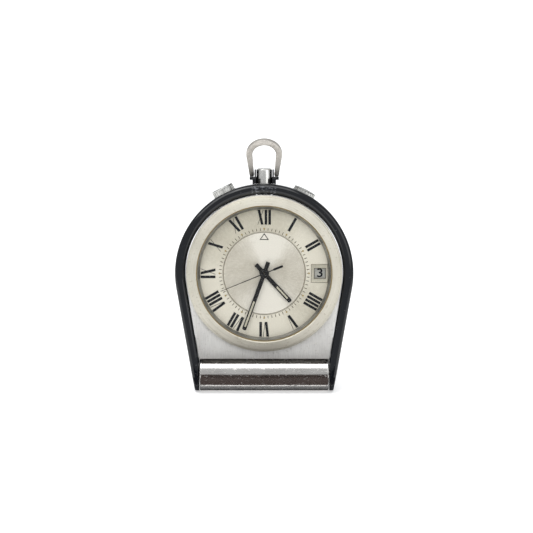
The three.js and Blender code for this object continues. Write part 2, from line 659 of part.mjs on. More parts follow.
/** The bezel: a wide, slightly coned ring with a step round its edge and a spigot below. */
function bezel() {
  const spigot = MOVEMENT_BORE - SLIP;
  return turned([
    [BEZEL_INNER, DIAL_FRONT + 0.1],
    [spigot, DIAL_FRONT + 0.1],
    [spigot, BEZEL_SEAT],
    [BEZEL_RADIUS, BEZEL_SEAT],
    [BEZEL_RADIUS, BEZEL_SEAT + 0.85],
    [BEZEL_RADIUS - 0.35, BEZEL_SEAT + 0.95],
    [BEZEL_RADIUS - 0.45, BEZEL_SEAT + 1.15],
    [BEZEL_INNER + 0.3, BEZEL_FRONT],
    [BEZEL_INNER, BEZEL_FRONT - 0.2],
  ]);
}

/** The domed crystal with its skirt. */
function crystal() {
  const edge = BEZEL_INNER - 0.25;
  const steps = 3;
  const dome = (radius, rise, level) =>
    Array.from({ length: steps + 1 }, (_, i) => {
      const r = (radius * (steps - i)) / steps;
      return [r, level + rise * (1 - (r / radius) ** 2)];
    });
  const outside = dome(edge, CRYSTAL_RISE, CRYSTAL_EDGE);
  const inside = dome(edge - 0.7, CRYSTAL_RISE, CRYSTAL_EDGE - CRYSTAL_THICK).reverse();
  const points = [...outside, ...inside, [edge - 0.7, CRYSTAL_SKIRT], [edge, CRYSTAL_SKIRT]];
  const profile = points.map(([r, z]) => new THREE.Vector2(Math.max(r, 0), z));
  profile.push(profile[0].clone());
  return solid(new THREE.LatheGeometry(profile, LARGE).rotateX(Math.PI / 2));
}

/** The dial: an outer ring round a sunk centre, with the date window cut at three o'clock. */
function dial() {
  const back = DIAL_FRONT - DIAL_THICK;
  const base = washer(DIAL_RADIUS, 1.7, back, DIAL_FRONT - ALARM_RECESS);
  const ring = washer(DIAL_RADIUS, ALARM_DISC_RADIUS + 0.15, back, DIAL_FRONT);
  return cut(join(base, ring), dateOpening());
}

/** The space of the date window, through dial and frame. */
function dateOpening() {
  const [left, right] = [DATE_RADIUS - DATE_WIDTH / 2, DATE_RADIUS + DATE_WIDTH / 2];
  return block([left, -DATE_HEIGHT / 2, MAIN_FRONT], [right, DATE_HEIGHT / 2, DIAL_FRONT + BEYOND]);
}

/** The raised frame round the date window. */
function dateFrame() {
  const [left, right] = [DATE_RADIUS - DATE_WIDTH / 2 - DATE_FRAME, DATE_RADIUS + DATE_WIDTH / 2];
  const high = DATE_HEIGHT / 2 + DATE_FRAME_SIDE;
  const low = DIAL_FRONT + 0.05;
  return cut(block([left, -high, low], [right + DATE_FRAME_OUTER, high, low + 0.2]), dateOpening());
}

/** The ring of dates, under the dial. */
function dateRing() {
  const [back, front] = [MAIN_FRONT + SLIP, DIAL_FRONT - DIAL_THICK - SLIP];
  return washer(DATE_RADIUS + 2.25, DATE_RADIUS - 2.25, back, front);
}

/** The rubber ring between crystal and bezel. */
function crystalGasket() {
  return washer(BEZEL_INNER - 0.02, BEZEL_INNER - 0.22, CRYSTAL_SKIRT + 0.05, CRYSTAL_EDGE - 0.1);
}

/** The sloping ring between the dial and the crystal. */
function rehautRing() {
  const [outer, low] = [BEZEL_INNER - 0.1, DIAL_FRONT + 0.05];
  return turned([[REHAUT_FOOT, low], [outer, low], [outer, REHAUT_TOP], [outer - 0.25, REHAUT_TOP]]);
}

place(movement, "bezel", bezel(), brushed);
place(movement, "crystal", crystal(), clear);
place(movement, "crystal_gasket", crystalGasket(), rubber);
place(movement, "rehaut_ring", rehautRing(), brushed);
place(movement, "dial", dial(), silvered);
place(movement, "date_window_frame", dateFrame(), brushed);
place(movement, "date_ring", dateRing(), white);

// ---------------------------------------------------------------- hands and the alarm disc

const HOUR_LEVEL = DIAL_FRONT + 0.35;
const MINUTE_LEVEL = HOUR_LEVEL + 0.4;
const SECONDS_LEVEL = MINUTE_LEVEL + 0.4;
const HAND_THICK = 0.2;
const HAND_WIDTH = 1.1;
const HUB_RADIUS = 1.2;
const TAIL = 3.2;
const HOUR_LENGTH = DIAL_RADIUS * 0.56;
const MINUTE_LENGTH = REHAUT_FOOT - 1.05;
const SECONDS_LENGTH = DIAL_RADIUS * 0.68;
const SECONDS_TAIL = 5.3;
const SLOT_HALF = 0.22; // half width of the slot for luminous paint
const PUSH = 0.05; // clearance of a hand's bore round its tube
const SECONDS_TUBE = 0.2;
const MINUTE_TUBE = 0.5;
const HOUR_TUBE = 0.85;
const ALARM_TUBE = 1.3;

const dialAngle = (turns) => Math.PI / 2 - 2 * Math.PI * turns;
const SHOWN_HOUR = (4 + 34 / 60) / 12;
const SHOWN_MINUTE = 33.3 / 60;
const SHOWN_SECOND = 41.3 / 60;

/** A baton hand along +X with a tail, a hub and a slot for luminous paint. */
function batonHand(length, slotFrom, slotTo, level, bore) {
  const half = HAND_WIDTH / 2;
  const bar = block([-TAIL, -half, level], [length, half, level + HAND_THICK]);
  const slot = block([slotFrom, -SLOT_HALF, level - BEYOND], [slotTo, SLOT_HALF, level + BEYOND]);
  const hub = rod(HUB_RADIUS, level, level + HAND_THICK, 0, 0, MEDIUM);
  return cut(join(cut(bar, slot), hub), rod(bore + PUSH, level - BEYOND, level + BEYOND));
}

/** The sweep hand: a needle with a short heavy tail. */
function secondsHand() {
  const [back, front] = [SECONDS_LEVEL, SECONDS_LEVEL + HAND_THICK];
  const half = SECONDS_TAIL / 2;
  const upper = [[SECONDS_LENGTH, 0.07], [0, 0.16], [-half, 0.14], [-half, 0.3], [-SECONDS_TAIL, 0.3]];
  const lower = upper.map(([x, y]) => [x, -y]).reverse();
  const needle = slab(outline([...upper, ...lower]), back, front);
  const bore = rod(SECONDS_TUBE + PUSH, back - BEYOND, (back + front) / 2);
  return cut(join(needle, rod(0.85, back, front, 0, 0, MEDIUM)), bore);
}

const hourHand = batonHand(HOUR_LENGTH, 4.8, HOUR_LENGTH - 1.2, HOUR_LEVEL, HOUR_TUBE);
const minuteHand = batonHand(MINUTE_LENGTH, 7.8, MINUTE_LENGTH - 0.9, MINUTE_LEVEL, MINUTE_TUBE);
place(movement, "hour_hand", hourHand, blackened).rotation.z = dialAngle(SHOWN_HOUR);
place(movement, "minute_hand", minuteHand, blackened).rotation.z = dialAngle(SHOWN_MINUTE);
place(movement, "seconds_hand", secondsHand(), blackened).rotation.z = dialAngle(SHOWN_SECOND);

/** The alarm disc on its tube. */
function alarmDisc() {
  const back = DIAL_FRONT - ALARM_DISC_THICK;
  const disc = rod(ALARM_DISC_RADIUS, back, DIAL_FRONT, 0, 0, LARGE);
  const tube = rod(ALARM_TUBE, MAIN_FRONT + 0.25, back + 0.1);
  return cut(join(disc, tube), rod(HOUR_TUBE + RUN, 0, DIAL_FRONT + BEYOND));
}
place(movement, "alarm_disc", alarmDisc(), silvered);

// ---------------------------------------------------------------- going train

const centrePhase = 0;
const thirdPinionPhase = meshing(THIRD.pinion, THIRD.towards, CENTRE.teeth, centrePhase);
const fourthPinionPhase = 0.2;
const thirdPhase = meshing(THIRD.teeth, THIRD.towards, FOURTH.pinion, fourthPinionPhase);
const fourthPhase = 0.1;
const escapePhase = meshing(ESCAPE.pinion, ESCAPE.towards, FOURTH.teeth, fourthPhase);
const centrePinionPhase = 0;
const barrelPhase = meshing(BARREL.teeth, BARREL.towards, CENTRE.pinion, centrePinionPhase);

const moved = (made, [x, y]) => solid(geometryOf(made).translate(x, y, 0));

/** The centre wheel: its tube carries the minute hand and the cannon pinion. */
function centreWheel() {
  return cut(
    join(
      gear(CENTRE.teeth, CENTRE_MODULE, centrePhase, 1.42, 1.6),
      gear(CENTRE.pinion, BARREL_MODULE, centrePinionPhase, 0.95, 1.5),
      rod(MINUTE_TUBE, 1.5, MINUTE_LEVEL + HAND_THICK),
      gear(CANNON.teeth, MOTION_MODULE, cannonPhase, MAIN_FRONT - 0.75, MAIN_FRONT - 0.3),
    ),
    rod(SECONDS_TUBE + RUN, 0, DIAL_FRONT + 3, 0, 0, TINY),
  );
}
const cannonPhase = 0.3;

/** The fourth wheel: it turns once a minute on the axis of the hands. */
function fourthWheel() {
  return join(
    gear(FOURTH.teeth, ESCAPE_MODULE, fourthPhase, -0.65, -0.45),
    gear(FOURTH.pinion, FOURTH_MODULE, fourthPinionPhase, 0.1, 0.8),
    rod(SECONDS_TUBE, -0.85, SECONDS_LEVEL + HAND_THICK / 2 - 0.02, 0, 0, TINY),
    rod(PIVOT, BRIDGE_FRONT - 0.5, -0.8, 0, 0, TINY),
  );
}

/** A wheel on an arbor with a pivot at each end. */
function arbored(...toothed) {
  return join(
    ...toothed,
    rod(ARBOR, BRIDGE_FRONT + 0.15, MAIN_BACK - 0.15, 0, 0, TINY),
    rod(PIVOT, BRIDGE_FRONT - 0.5, MAIN_BACK + 0.5, 0, 0, TINY),
  );
}

/** The third wheel, between the centre wheel and the fourth. */
function thirdWheel() {
  return arbored(
    gear(THIRD.teeth, FOURTH_MODULE, thirdPhase, 0.35, 0.55),
    gear(THIRD.pinion, CENTRE_MODULE, thirdPinionPhase, 1.2, MAIN_BACK - 0.1),
  );
}

/** The escape wheel with its pointed teeth. */
function escapeWheel() {
  const points = [];
  for (let i = 0; i < ESCAPE.teeth; i++) {
    const angle = (2 * Math.PI * i) / ESCAPE.teeth;
    points.push(polar(1.6, angle - 0.16), polar(2.15, angle), polar(1.6, angle + 0.04));
  }
  const teeth = slab(outline(points), 0, 0.2, 1);
  return arbored(teeth, gear(ESCAPE.pinion, ESCAPE_MODULE, escapePhase, -0.8, -0.3));
}

/** A mainspring drum with its wider lid and its arbor. */
function springDrum(radius) {
  const drum = rod(radius, -0.2, 1.0, 0, 0, MEDIUM);
  const lid = rod(radius + 0.1, 0.85, 1.2, 0, 0, MEDIUM);
  const arbor = rod(0.8, BRIDGE_FRONT + 0.1, MAIN_BACK - 0.1);
  const pivot = rod(DRUM_PIVOT, BRIDGE_BACK - 0.1, MAIN_BACK + 0.6);
  return join(drum, lid, arbor, pivot);
}

/** The lever that lets the escape wheel go one tooth at a time. */
function palletFork() {
  const towards = Math.atan2(AT.escape[1] - AT.pallet[1], AT.escape[0] - AT.pallet[0]);
  const upper = [[0.3, 0.35], [0.9, 1.25], [0.55, 1.35], [-0.1, 0.5]];
  const arm = slab(outline([...upper.map(([x, y]) => [x, -y]), ...upper.reverse()]), 0, 0.2, 1);
  const lever = block([-2.0, -0.18, 0], [0.4, 0.18, 0.2]);
  const horns = block([-2.5, -0.45, 0], [-1.9, 0.45, 0.2]);
  const fork = cut(horns, block([-2.8, -0.2, -BEYOND], [-2.2, 0.2, BEYOND]));
  const flat = geometryOf(join(arm, lever, fork)).rotateZ(towards);
  return arbored(solid(flat));
}

/** The balance: a rim with three arms on a staff. */
function balanceWheel() {
  const rim = washer(3.0, 2.5, -0.55, -0.3, MEDIUM + SMALL);
  const arms = [0, 1, 2].map((i) =>
    solid(geometryOf(block([0, -0.2, -0.5], [2.7, 0.2, -0.35])).rotateZ((2 * Math.PI * i) / 3)),
  );
  return arbored(rim, ...arms, rod(0.6, -0.6, -0.3));
}

/** The flat spiral that swings the balance back. */
function hairspring() {
  const turns = 4;
  class Spiral extends THREE.Curve {
    getPoint(t, target = new THREE.Vector3()) {
      const [x, y] = polar(0.7 + 1.5 * t, 2 * Math.PI * turns * t);
      return target.set(x, y, -0.78);
    }
  }
  return wire(new Spiral(), 0.05, turns * 12, 4);
}

/** The arm that hammers the stud on the back cover. */
function alarmHammer() {
  const [dx, dy] = [HAMMER_STUD[0] - AT.hammer[0], HAMMER_STUD[1] - AT.hammer[1]];
  const reach = Math.hypot(dx, dy);
  const arm = block([0, -0.35, 0.2], [reach - 0.8, 0.35, 0.7]);
  const weight = block([reach - 1.2, -0.6, 0.1], [reach + 0.5, 0.6, 1.0]);
  const aside = Math.asin((0.6 + STUD_RADIUS + 0.3) / reach); // at rest the weight stands off the stud
  const flat = geometryOf(join(arm, weight)).rotateZ(Math.atan2(dy, dx) + aside);
  return arbored(solid(flat), rod(0.8, 0.1, 0.8));
}

/** The minute wheel of the motion work, in front of the main plate. */
function minuteWheel() {
  const wheelPhase = meshing(MINUTE.teeth, MINUTE.towards, CANNON.teeth, cannonPhase);
  const pinionPhase = meshing(MINUTE.pinion, MINUTE.towards, HOUR.teeth, hourPhase);
  return cut(
    join(
      gear(MINUTE.teeth, MOTION_MODULE, wheelPhase, MAIN_FRONT - 0.7, MAIN_FRONT - 0.5),
      gear(MINUTE.pinion, MOTION_MODULE, pinionPhase, MAIN_FRONT - 0.55, MAIN_FRONT + 0.2),
    ),
    rod(0.25 + RUN, 0, DIAL_FRONT + BEYOND, 0, 0, TINY),
  );
}
const hourPhase = 0.15;

/** The hour wheel, whose tube carries the hour hand. */
function hourWheel() {
  return cut(
    join(
      gear(HOUR.teeth, MOTION_MODULE, hourPhase, MAIN_FRONT - 0.15, MAIN_FRONT + 0.1),
      rod(HOUR_TUBE, MAIN_FRONT - 0.2, HOUR_LEVEL + HAND_THICK),
    ),
    rod(MINUTE_TUBE + RUN, 0, DIAL_FRONT + 2),
  );
}

place(movement, "centre_wheel", centreWheel(), gilt);
place(movement, "third_wheel", thirdWheel(), gilt, [...AT.third, 0]);
place(movement, "fourth_wheel", fourthWheel(), gilt);
place(movement, "escape_wheel", escapeWheel(), rhodium, [...AT.escape, 0]);
place(movement, "pallet_fork", palletFork(), rhodium, [...AT.pallet, 0]);
place(movement, "balance_wheel", balanceWheel(), gilt, [...AT.balance, 0]);
place(movement, "hairspring", hairspring(), blackened, [...AT.balance, 0]);
const barrelTeeth = gear(BARREL.teeth, BARREL_MODULE, barrelPhase, 1.05, 1.25);
place(movement, "time_barrel", springDrum(4.8).add(barrelTeeth), gilt, [...AT.barrel, 0]);
place(movement, "alarm_barrel", springDrum(4.0), gilt, [...AT.alarmBarrel, 0]);
place(movement, "alarm_hammer", alarmHammer(), rhodium, [...AT.hammer, 0]);
place(movement, "minute_wheel", minuteWheel(), gilt, [...AT.minute, 0]);
place(movement, "hour_wheel", hourWheel(), gilt);

// ---------------------------------------------------------------- plates, bridges and their screws

const HOLE = PIVOT + RUN;
const POST = 0.7; // radius of a bridge's post
const SHANK = 0.45; // radius of a bridge screw's shank
const BRIDGE_SCREWS = [[10.9, 6.8], [-12.6, 3.2], [-9.6, -5.6], [5.4, -5.8], [4.9, -13.2]];
const MOTION_RECESS = 6.2;

/** The main plate, recessed for the motion work, with a hole for every pivot. */
function mainPlate() {
  const plate = rod(PLATE_RADIUS, MAIN_BACK, MAIN_FRONT, 0, 0, LARGE);
  const recess = rod(MOTION_RECESS, MAIN_FRONT - 0.8, MAIN_FRONT + BEYOND, 0, 0, MEDIUM);
  const through = (radius, [x, y]) => rod(radius, MAIN_BACK - BEYOND, MAIN_FRONT + BEYOND, x, y, TINY);
  const post = rod(0.25, MAIN_FRONT - 0.9, MAIN_FRONT + 0.2, ...AT.minute, TINY);
  return join(
    cut(
      plate,
      recess,
      through(MINUTE_TUBE + RUN, [0, 0]),
      ...["third", "escape", "pallet", "balance", "hammer"].map((name) => through(HOLE, AT[name])),
      ...["barrel", "alarmBarrel"].map((name) => through(DRUM_PIVOT + RUN, AT[name])),
      ...BRIDGE_SCREWS.map((at) => through(SHANK + SLIP, at)),
    ),
    post,
  );
}

/** Part of the disc of bridges: a window of it, with holes for arbors and posts with screw holes. */
function bridge([left, low], [right, high], radius, arbors, posts) {
  const disc = rod(PLATE_RADIUS - 0.2, BRIDGE_BACK, BRIDGE_FRONT, 0, 0, LARGE);
  const window = block([left, low, BRIDGE_BACK - BEYOND], [right, high, BRIDGE_FRONT + BEYOND]);
  const drill = (size, [x, y]) => rod(size, BRIDGE_BACK - BEYOND, MAIN_BACK + BEYOND, x, y, TINY);
  const pillars = posts.map(([x, y]) => rod(POST, BRIDGE_FRONT - 0.3, MAIN_BACK - 0.05, x, y, TINY));
  const holes = arbors.map((at) => drill(radius, at));
  const screwHoles = posts.map((at) => drill(SHANK + SLIP, at));
  return cut(join(disc.intersect(window), ...pillars), ...holes, ...screwHoles);
}

/** A slotted screw through a bridge's post into the main plate. */
function bridgeScrew() {
  const head = rod(0.75, BRIDGE_BACK - 0.4, BRIDGE_BACK - 0.05);
  const shank = rod(SHANK, BRIDGE_BACK - 0.1, MAIN_BACK + 0.7, 0, 0, TINY);
  const slot = block([-BEYOND, -0.1, BRIDGE_BACK - BEYOND], [BEYOND, 0.1, BRIDGE_BACK - 0.22]);
  return cut(join(head, shank), slot);
}

/** The ring that centres the movement in the bore, slotted for the two stems. */
function casingRing() {
  const ring = washer(MOVEMENT_BORE - SLIP, PLATE_RADIUS + SLIP, BRIDGE_BACK, MAIN_FRONT);
  const slots = [-1, 1].map((side) => {
    const slot = block([-1.1, PLATE_RADIUS - 2, -1.0], [1.1, MOVEMENT_BORE + 1, 1.0]);
    const turn = new THREE.Matrix4()
      .makeTranslation(0, 0, CROWN_DEPTH)
      .multiply(new THREE.Matrix4().makeRotationZ(-side * CROWN_ANGLE));
    return solid(geometryOf(slot).applyMatrix4(turn));
  });
  return cut(ring, ...slots);
}

place(movement, "main_plate", mainPlate(), rhodium);
place(movement, "casing_ring", casingRing(), brushed);
const trainArbors = [[0, 0], AT.third, AT.escape, AT.pallet, AT.hammer];
const bridges = {
  barrel_bridge: [[-16, 1.6], [16, 16], DRUM_PIVOT + RUN, [AT.barrel, AT.alarmBarrel], [0, 2]],
  train_bridge: [[-11.6, -8.9], [11.4, 1.3], HOLE, trainArbors, [2, 4]],
  balance_cock: [[0.2, -14.4], [6.2, -9.1], HOLE, [AT.balance], [4, 5]],
};
for (const [name, [low, high, radius, arbors, screws]] of Object.entries(bridges))
  place(movement, name, bridge(low, high, radius, arbors, BRIDGE_SCREWS.slice(...screws)), rhodium);
BRIDGE_SCREWS.forEach(([x, y], i) =>
  place(movement, `bridge_screw_${i + 1}`, bridgeScrew(), rhodium, [x, y, 0]),
);

export default clock;
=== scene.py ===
"""A folding travel alarm clock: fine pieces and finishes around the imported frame.

Pieces are drawn in millimetres in the frame of what they belong to (foot, head, dial, bow or crown),
and then set in their place in metres.
"""

import json
import logging
import math
from collections.abc import Iterable, Sequence
from dataclasses import dataclass
from enum import Enum

import bmesh
import bpy
from mathutils import Matrix, Vector

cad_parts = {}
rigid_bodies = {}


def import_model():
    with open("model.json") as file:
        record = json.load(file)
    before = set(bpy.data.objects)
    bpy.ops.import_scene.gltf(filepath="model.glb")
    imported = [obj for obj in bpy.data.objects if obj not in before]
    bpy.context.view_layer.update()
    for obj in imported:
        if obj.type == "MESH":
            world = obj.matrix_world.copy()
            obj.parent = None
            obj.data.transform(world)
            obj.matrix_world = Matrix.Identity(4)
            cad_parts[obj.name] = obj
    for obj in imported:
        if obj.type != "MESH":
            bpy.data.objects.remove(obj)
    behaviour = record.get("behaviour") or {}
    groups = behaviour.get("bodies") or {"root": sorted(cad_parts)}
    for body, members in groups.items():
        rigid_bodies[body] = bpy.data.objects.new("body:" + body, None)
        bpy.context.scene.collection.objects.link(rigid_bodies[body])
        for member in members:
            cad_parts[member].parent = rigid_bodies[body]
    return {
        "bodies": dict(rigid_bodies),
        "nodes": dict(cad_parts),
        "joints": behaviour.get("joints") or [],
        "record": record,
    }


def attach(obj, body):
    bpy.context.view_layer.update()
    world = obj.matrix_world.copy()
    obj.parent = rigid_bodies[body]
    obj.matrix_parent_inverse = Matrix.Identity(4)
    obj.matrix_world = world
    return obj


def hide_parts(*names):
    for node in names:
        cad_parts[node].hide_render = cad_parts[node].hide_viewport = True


log = logging.getLogger("clock")

Point = tuple[float, float]
Spot = tuple[float, float, float]
Colour = tuple[float, float, float]
Socket = bpy.types.NodeSocket
MM = 0.001
MERGE = 1e-4
ON_AXIS = 1e-6
PEG_SIDES = 12
TURN = 2 * math.pi
TO_Y = Matrix.Rotation(-TURN / 4, 4, "X")
TO_RIGHT = Matrix.Rotation(TURN / 4, 4, "Y")
TO_LEFT = Matrix.Rotation(-TURN / 4, 4, "Y")
SIDES = (("left", TO_LEFT), ("right", TO_RIGHT))


# ---------------------------------------------------------------- places


class Seat(Enum):
    """The frames that pieces are drawn in."""

    FOOT = "foot"
    HEAD = "head"
    DIAL = "dial"
    BOW = "bow"
    ALARM = "alarm"
    WINDING = "winding"


@dataclass
class Layout:
    """Where each frame stands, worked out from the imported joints.

    Args:
        joints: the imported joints.
        bow_tilt: how far the bow hangs forward of the face, in degrees.
        crown_depth: depth of the crowns' axes, in front of the dial frame's origin.
    """

    joints: Sequence[dict]
    bow_tilt: float = 34.0
    crown_depth: float = 0.6

    def _joint(self, name: str) -> tuple[Vector, Vector]:
        """The place and the axis of a joint."""
        found = next(joint for joint in self.joints if joint["name"] == name)
        return Vector(found["pos_m"]), Vector(found["axis"]).normalized()

    def _frame(self, origin: Vector, up: Vector, out: Vector) -> Matrix:
        """Make a frame in millimetres.

        Args:
            origin: its origin, in metres.
            up: its Y axis.
            out: its Z axis.

        Returns:
            The matrix from that frame to the object's.
        """
        turn = Matrix((up.cross(out), up, out)).transposed().to_4x4()
        return Matrix.Translation(origin) @ turn @ Matrix.Scale(MM, 4)

    def place(self, seat: Seat) -> Matrix:
        """Find a frame.

        Args:
            seat: which frame.

        Returns:
            The matrix from that frame, in millimetres, to the object's, in metres.
        """
        hinge, _ = self._joint("case_fold")
        if seat is Seat.FOOT:
            return self._frame(hinge, Vector((0, 1, 0)), Vector((0, 0, 1)))
        centre, inwards = self._joint("minutes_turn")
        out = -inwards
        up = out.cross(Vector((1, 0, 0)))
        if seat is Seat.HEAD:
            return self._frame(hinge, up, out)
        if seat is Seat.DIAL:
            return self._frame(centre, up, out)
        if seat is Seat.BOW:
            pivot, _ = self._joint("bow_swing")
            return self._frame(pivot, up, out) @ Matrix.Rotation(math.radians(self.bow_tilt), 4, "X")
        _, along = self._joint(f"{seat.value}_crown_turn")
        return self._frame(centre + out * self.crown_depth * MM, along, out)


# ---------------------------------------------------------------- finishes


class Paint:
    """A node material in the making. Its helpers return sockets."""

    def __init__(self, name: str, place: Matrix) -> None:
        """Start a material.

        Args:
            name: its name.
            place: the frame, in millimetres, that its pattern is laid out in.
        """
        self.material = bpy.data.materials.new(name)
        self.material.use_nodes = True
        self.tree = self.material.node_tree
        self.surface = self.tree.nodes["Principled BSDF"]
        back = place.inverted()
        mapping = self.add("Mapping", Vector=self.add("TexCoord").outputs["Object"])
        mapping.inputs["Location"].default_value = back.translation
        mapping.inputs["Rotation"].default_value = back.to_euler()
        mapping.inputs["Scale"].default_value = back.to_scale()
        self.local: Socket = mapping.outputs[0]

    def add(self, kind: str, *values: object, **named: object) -> bpy.types.Node:
        """Add a node.

        Args:
            kind: its type, without the ShaderNode prefix.
            values: sockets or numbers for its first inputs.
            named: sockets or numbers for inputs by name.

        Returns:
            The node.
        """
        node = self.tree.nodes.new(f"ShaderNode{kind}")
        for key, value in [*enumerate(values), *named.items()]:
            socket = node.inputs[key]
            if isinstance(value, Socket):
                self.tree.links.new(value, socket)
            else:
                socket.default_value = value
        return node

    def maths(self, operation: str, *values: object) -> Socket:
        """Work out a number.

        Args:
            operation: what to do.
            values: sockets or numbers.

        Returns:
            The result.
        """
        node = self.add("Math", *values)
        node.operation = operation
        return node.outputs[0]

    def noise(self, scale: float, stretch: Spot = (1, 1, 1), detail: float = 3) -> Socket:
        """Make noise over the piece.

        Args:
            scale: features per millimetre.
            stretch: how much finer it is along each axis.
            detail: how many octaves it has.

        Returns:
            A value round a half.
        """
        scaled = self.add("Mapping", Vector=self.local)
        scaled.inputs["Scale"].default_value = stretch
        node = self.add("TexNoise", Vector=scaled.outputs[0], Scale=scale, Detail=detail)
        return node.outputs[0]

    def level(self, value: Socket, low: float, high: float, start: float = 0, end: float = 1) -> Socket:
        """Map a value from low..high to start..end, held at the ends."""
        return self.add("MapRange", value, low, high, start, end).outputs[0]

    def band(self, value: Socket, low: float, high: float, soft: float) -> Socket:
        """One between two values, with soft edges."""
        rise = self.level(value, low - soft, low)
        return self.maths("MULTIPLY", rise, self.level(value, high, high + soft, 1, 0))

    def blend(self, share: Socket, first: object, second: object) -> Socket:
        """Mix two colours.

        Args:
            share: how much of the second one shows.
            first: a colour or a socket.
            second: a colour or a socket.

        Returns:
            The mixed colour.
        """
        node = self.tree.nodes.new("ShaderNodeMix")
        node.data_type = "RGBA"
        self.tree.links.new(share, node.inputs[0])
        for socket, value in zip(node.inputs[6:8], (first, second)):
            if isinstance(value, Socket):
                self.tree.links.new(value, socket)
            else:
                socket.default_value = (*value, 1)
        return node.outputs[2]

    def polar(self) -> tuple[Socket, Socket]:
        """Measure round the frame's Z axis.

        Returns:
            The distance from the axis, and the angle round it.
        """
        parts = self.add("SeparateXYZ", self.local).outputs
        squares = [self.maths("POWER", part, 2.0) for part in parts[:2]]
        radius = self.maths("SQRT", self.maths("ADD", *squares))
        return radius, self.maths("ARCTAN2", parts[1], parts[0])

    def ring_noise(self, fine: float, along: float) -> Socket:
        """Make noise drawn out in rings round the frame's Z axis.

        Args:
            fine: features per millimetre across the rings.
            along: features per radian along them.

        Returns:
            A value round a half.
        """
        radius, angle = self.polar()
        across = self.maths("MULTIPLY", radius, fine)
        around = self.maths("MULTIPLY", angle, along)
        at = self.add("CombineXYZ", across, around, 0.0).outputs[0]
        return self.add("TexNoise", Vector=at, Scale=1.0, Detail=2.0).outputs[0]

    def dress(self, colour: Socket, roughness: Socket, metallic: float, relief: Socket, depth: float) -> None:
        """Set the surface.

        Args:
            colour: its base colour.
            roughness: its roughness.
            metallic: how metallic it is.
            relief: the height of its small relief, from 0 to 1.
            depth: the depth of that relief, in millimetres.
        """
        self.surface.inputs["Metallic"].default_value = metallic
        bump = self.add("Bump", Height=relief, Strength=0.6, Distance=depth * MM).outputs[0]
        for name, value in (("Base Color", colour), ("Roughness", roughness), ("Normal", bump)):
            self.tree.links.new(value, self.surface.inputs[name])


@dataclass(frozen=True)
class Lacquer:
    """Glossy black lacquer with random chips, and a painted highlight at the middle of the band's top."""

    colour: Colour = (0.004, 0.005, 0.007)
    # The grey that both the chips and the painted highlight are mixed to.
    rubbed: Colour = (0.20, 0.21, 0.23)
    gloss: float = 0.05
    shine: float = 0.42
    # Where the painted highlight lies and how big it is: a grey streaky patch on the top of the band.
    patch_at: Point = (-0.1, 48.5)
    patch_size: Point = (3.0, 1.0)

    def make(self, place: Matrix) -> bpy.types.Material:
        """Make the material for pieces drawn in a frame.

        Args:
            place: the frame that its pattern is laid out in.

        Returns:
            The material.
        """
        paint = Paint("black_lacquer_finish", place)
        x, y, _ = paint.add("SeparateXYZ", paint.local).outputs
        # The painted highlight: a soft-edged patch, broken into streaks by noise.
        (left, low), (wide, high) = self.patch_at, self.patch_size
        highlight_patch = paint.maths(
            "MULTIPLY",
            paint.band(x, left - wide, left + wide, 0.4),
            paint.band(y, low - high, low + high, 0.3),
        )
        highlight_streaks = paint.level(paint.noise(1.6, (0.8, 1.6, 1), 5), 0.52, 0.60)
        # Random chips over the whole band: real wear.
        flecks = paint.level(paint.noise(2.2, (1, 1, 1), 4), 0.70, 0.74)
        # The mask mixes the painted highlight with the chips, and it also roughens and raises both.
        highlight_and_wear = paint.maths("MAXIMUM", paint.maths("MULTIPLY", highlight_patch, highlight_streaks), flecks)
        share = paint.maths("MULTIPLY", highlight_and_wear, 0.55)
        colour = paint.blend(share, self.colour, self.rubbed)
        clouds = paint.noise(0.6, (1, 1, 1), 4)
        swirl = paint.level(clouds, 0.35, 0.7, self.gloss, self.gloss + 0.09)
        roughness = paint.maths("ADD", swirl, paint.maths("MULTIPLY", highlight_and_wear, 0.3))
        paint.dress(colour, roughness, 0.0, highlight_and_wear, 0.03)
        paint.surface.inputs["Specular IOR Level"].default_value = self.shine
        return paint.material


class Grain(Enum):
    """Which way the fine lines of a metal run."""

    UPRIGHT = "upright"
    ROUND = "round"
    ACROSS = "across"
    LOOSE = "loose"


@dataclass(frozen=True)
class Metal:
    """Metal with grain lines, a little tarnish and a few scratches.

    Args:
        name: the finish's name.
        colour: its colour.
        stain: the colour it is tarnished to.
        grain: which way its lines run.
        rough: its lowest and highest roughness.
        depth: how deep its lines are, in millimetres.
        scratches: how far the scratches show, from 0 to 1.
    """

    name: str
    colour: Colour
    stain: Colour
    grain: Grain
    rough: Point = (0.25, 0.4)
    depth: float = 0.01
    scratches: float = 0.3

    def _lines(self, paint: Paint) -> Socket:
        """Draw the grain lines.

        Args:
            paint: the material in the making.

        Returns:
            Their height.
        """
        if self.grain is Grain.ROUND:
            return paint.ring_noise(14.0, 1.5)
        stretch = {Grain.UPRIGHT: (9, 0.35, 1), Grain.ACROSS: (0.25, 8, 8), Grain.LOOSE: (3, 3, 3)}
        return paint.noise(1.3, stretch[self.grain], 4)

    def make(self, place: Matrix) -> bpy.types.Material:
        """Make the material for pieces drawn in a frame.

        Args:
            place: the frame that the grain runs in.

        Returns:
            The material.
        """
        paint = Paint(self.name, place)
        lines = self._lines(paint)
        tarnish = paint.level(paint.noise(0.16, (1, 1, 1), 5), 0.42, 0.75, 0.0, 0.35)
        marks = paint.level(paint.noise(1.1, (1, 1.6, 1.6), 6), 0.58, 0.66, 0.0, self.scratches)
        streak = paint.level(lines, 0.3, 0.7, 0.0, 0.5)
        colour = paint.blend(paint.maths("ADD", tarnish, streak), self.colour, self.stain)
        low, high = self.rough
        roughness = paint.maths("ADD", paint.level(lines, 0.3, 0.7, low, high), marks)
        paint.dress(colour, roughness, 1.0, paint.maths("ADD", lines, marks), self.depth)
        return paint.material


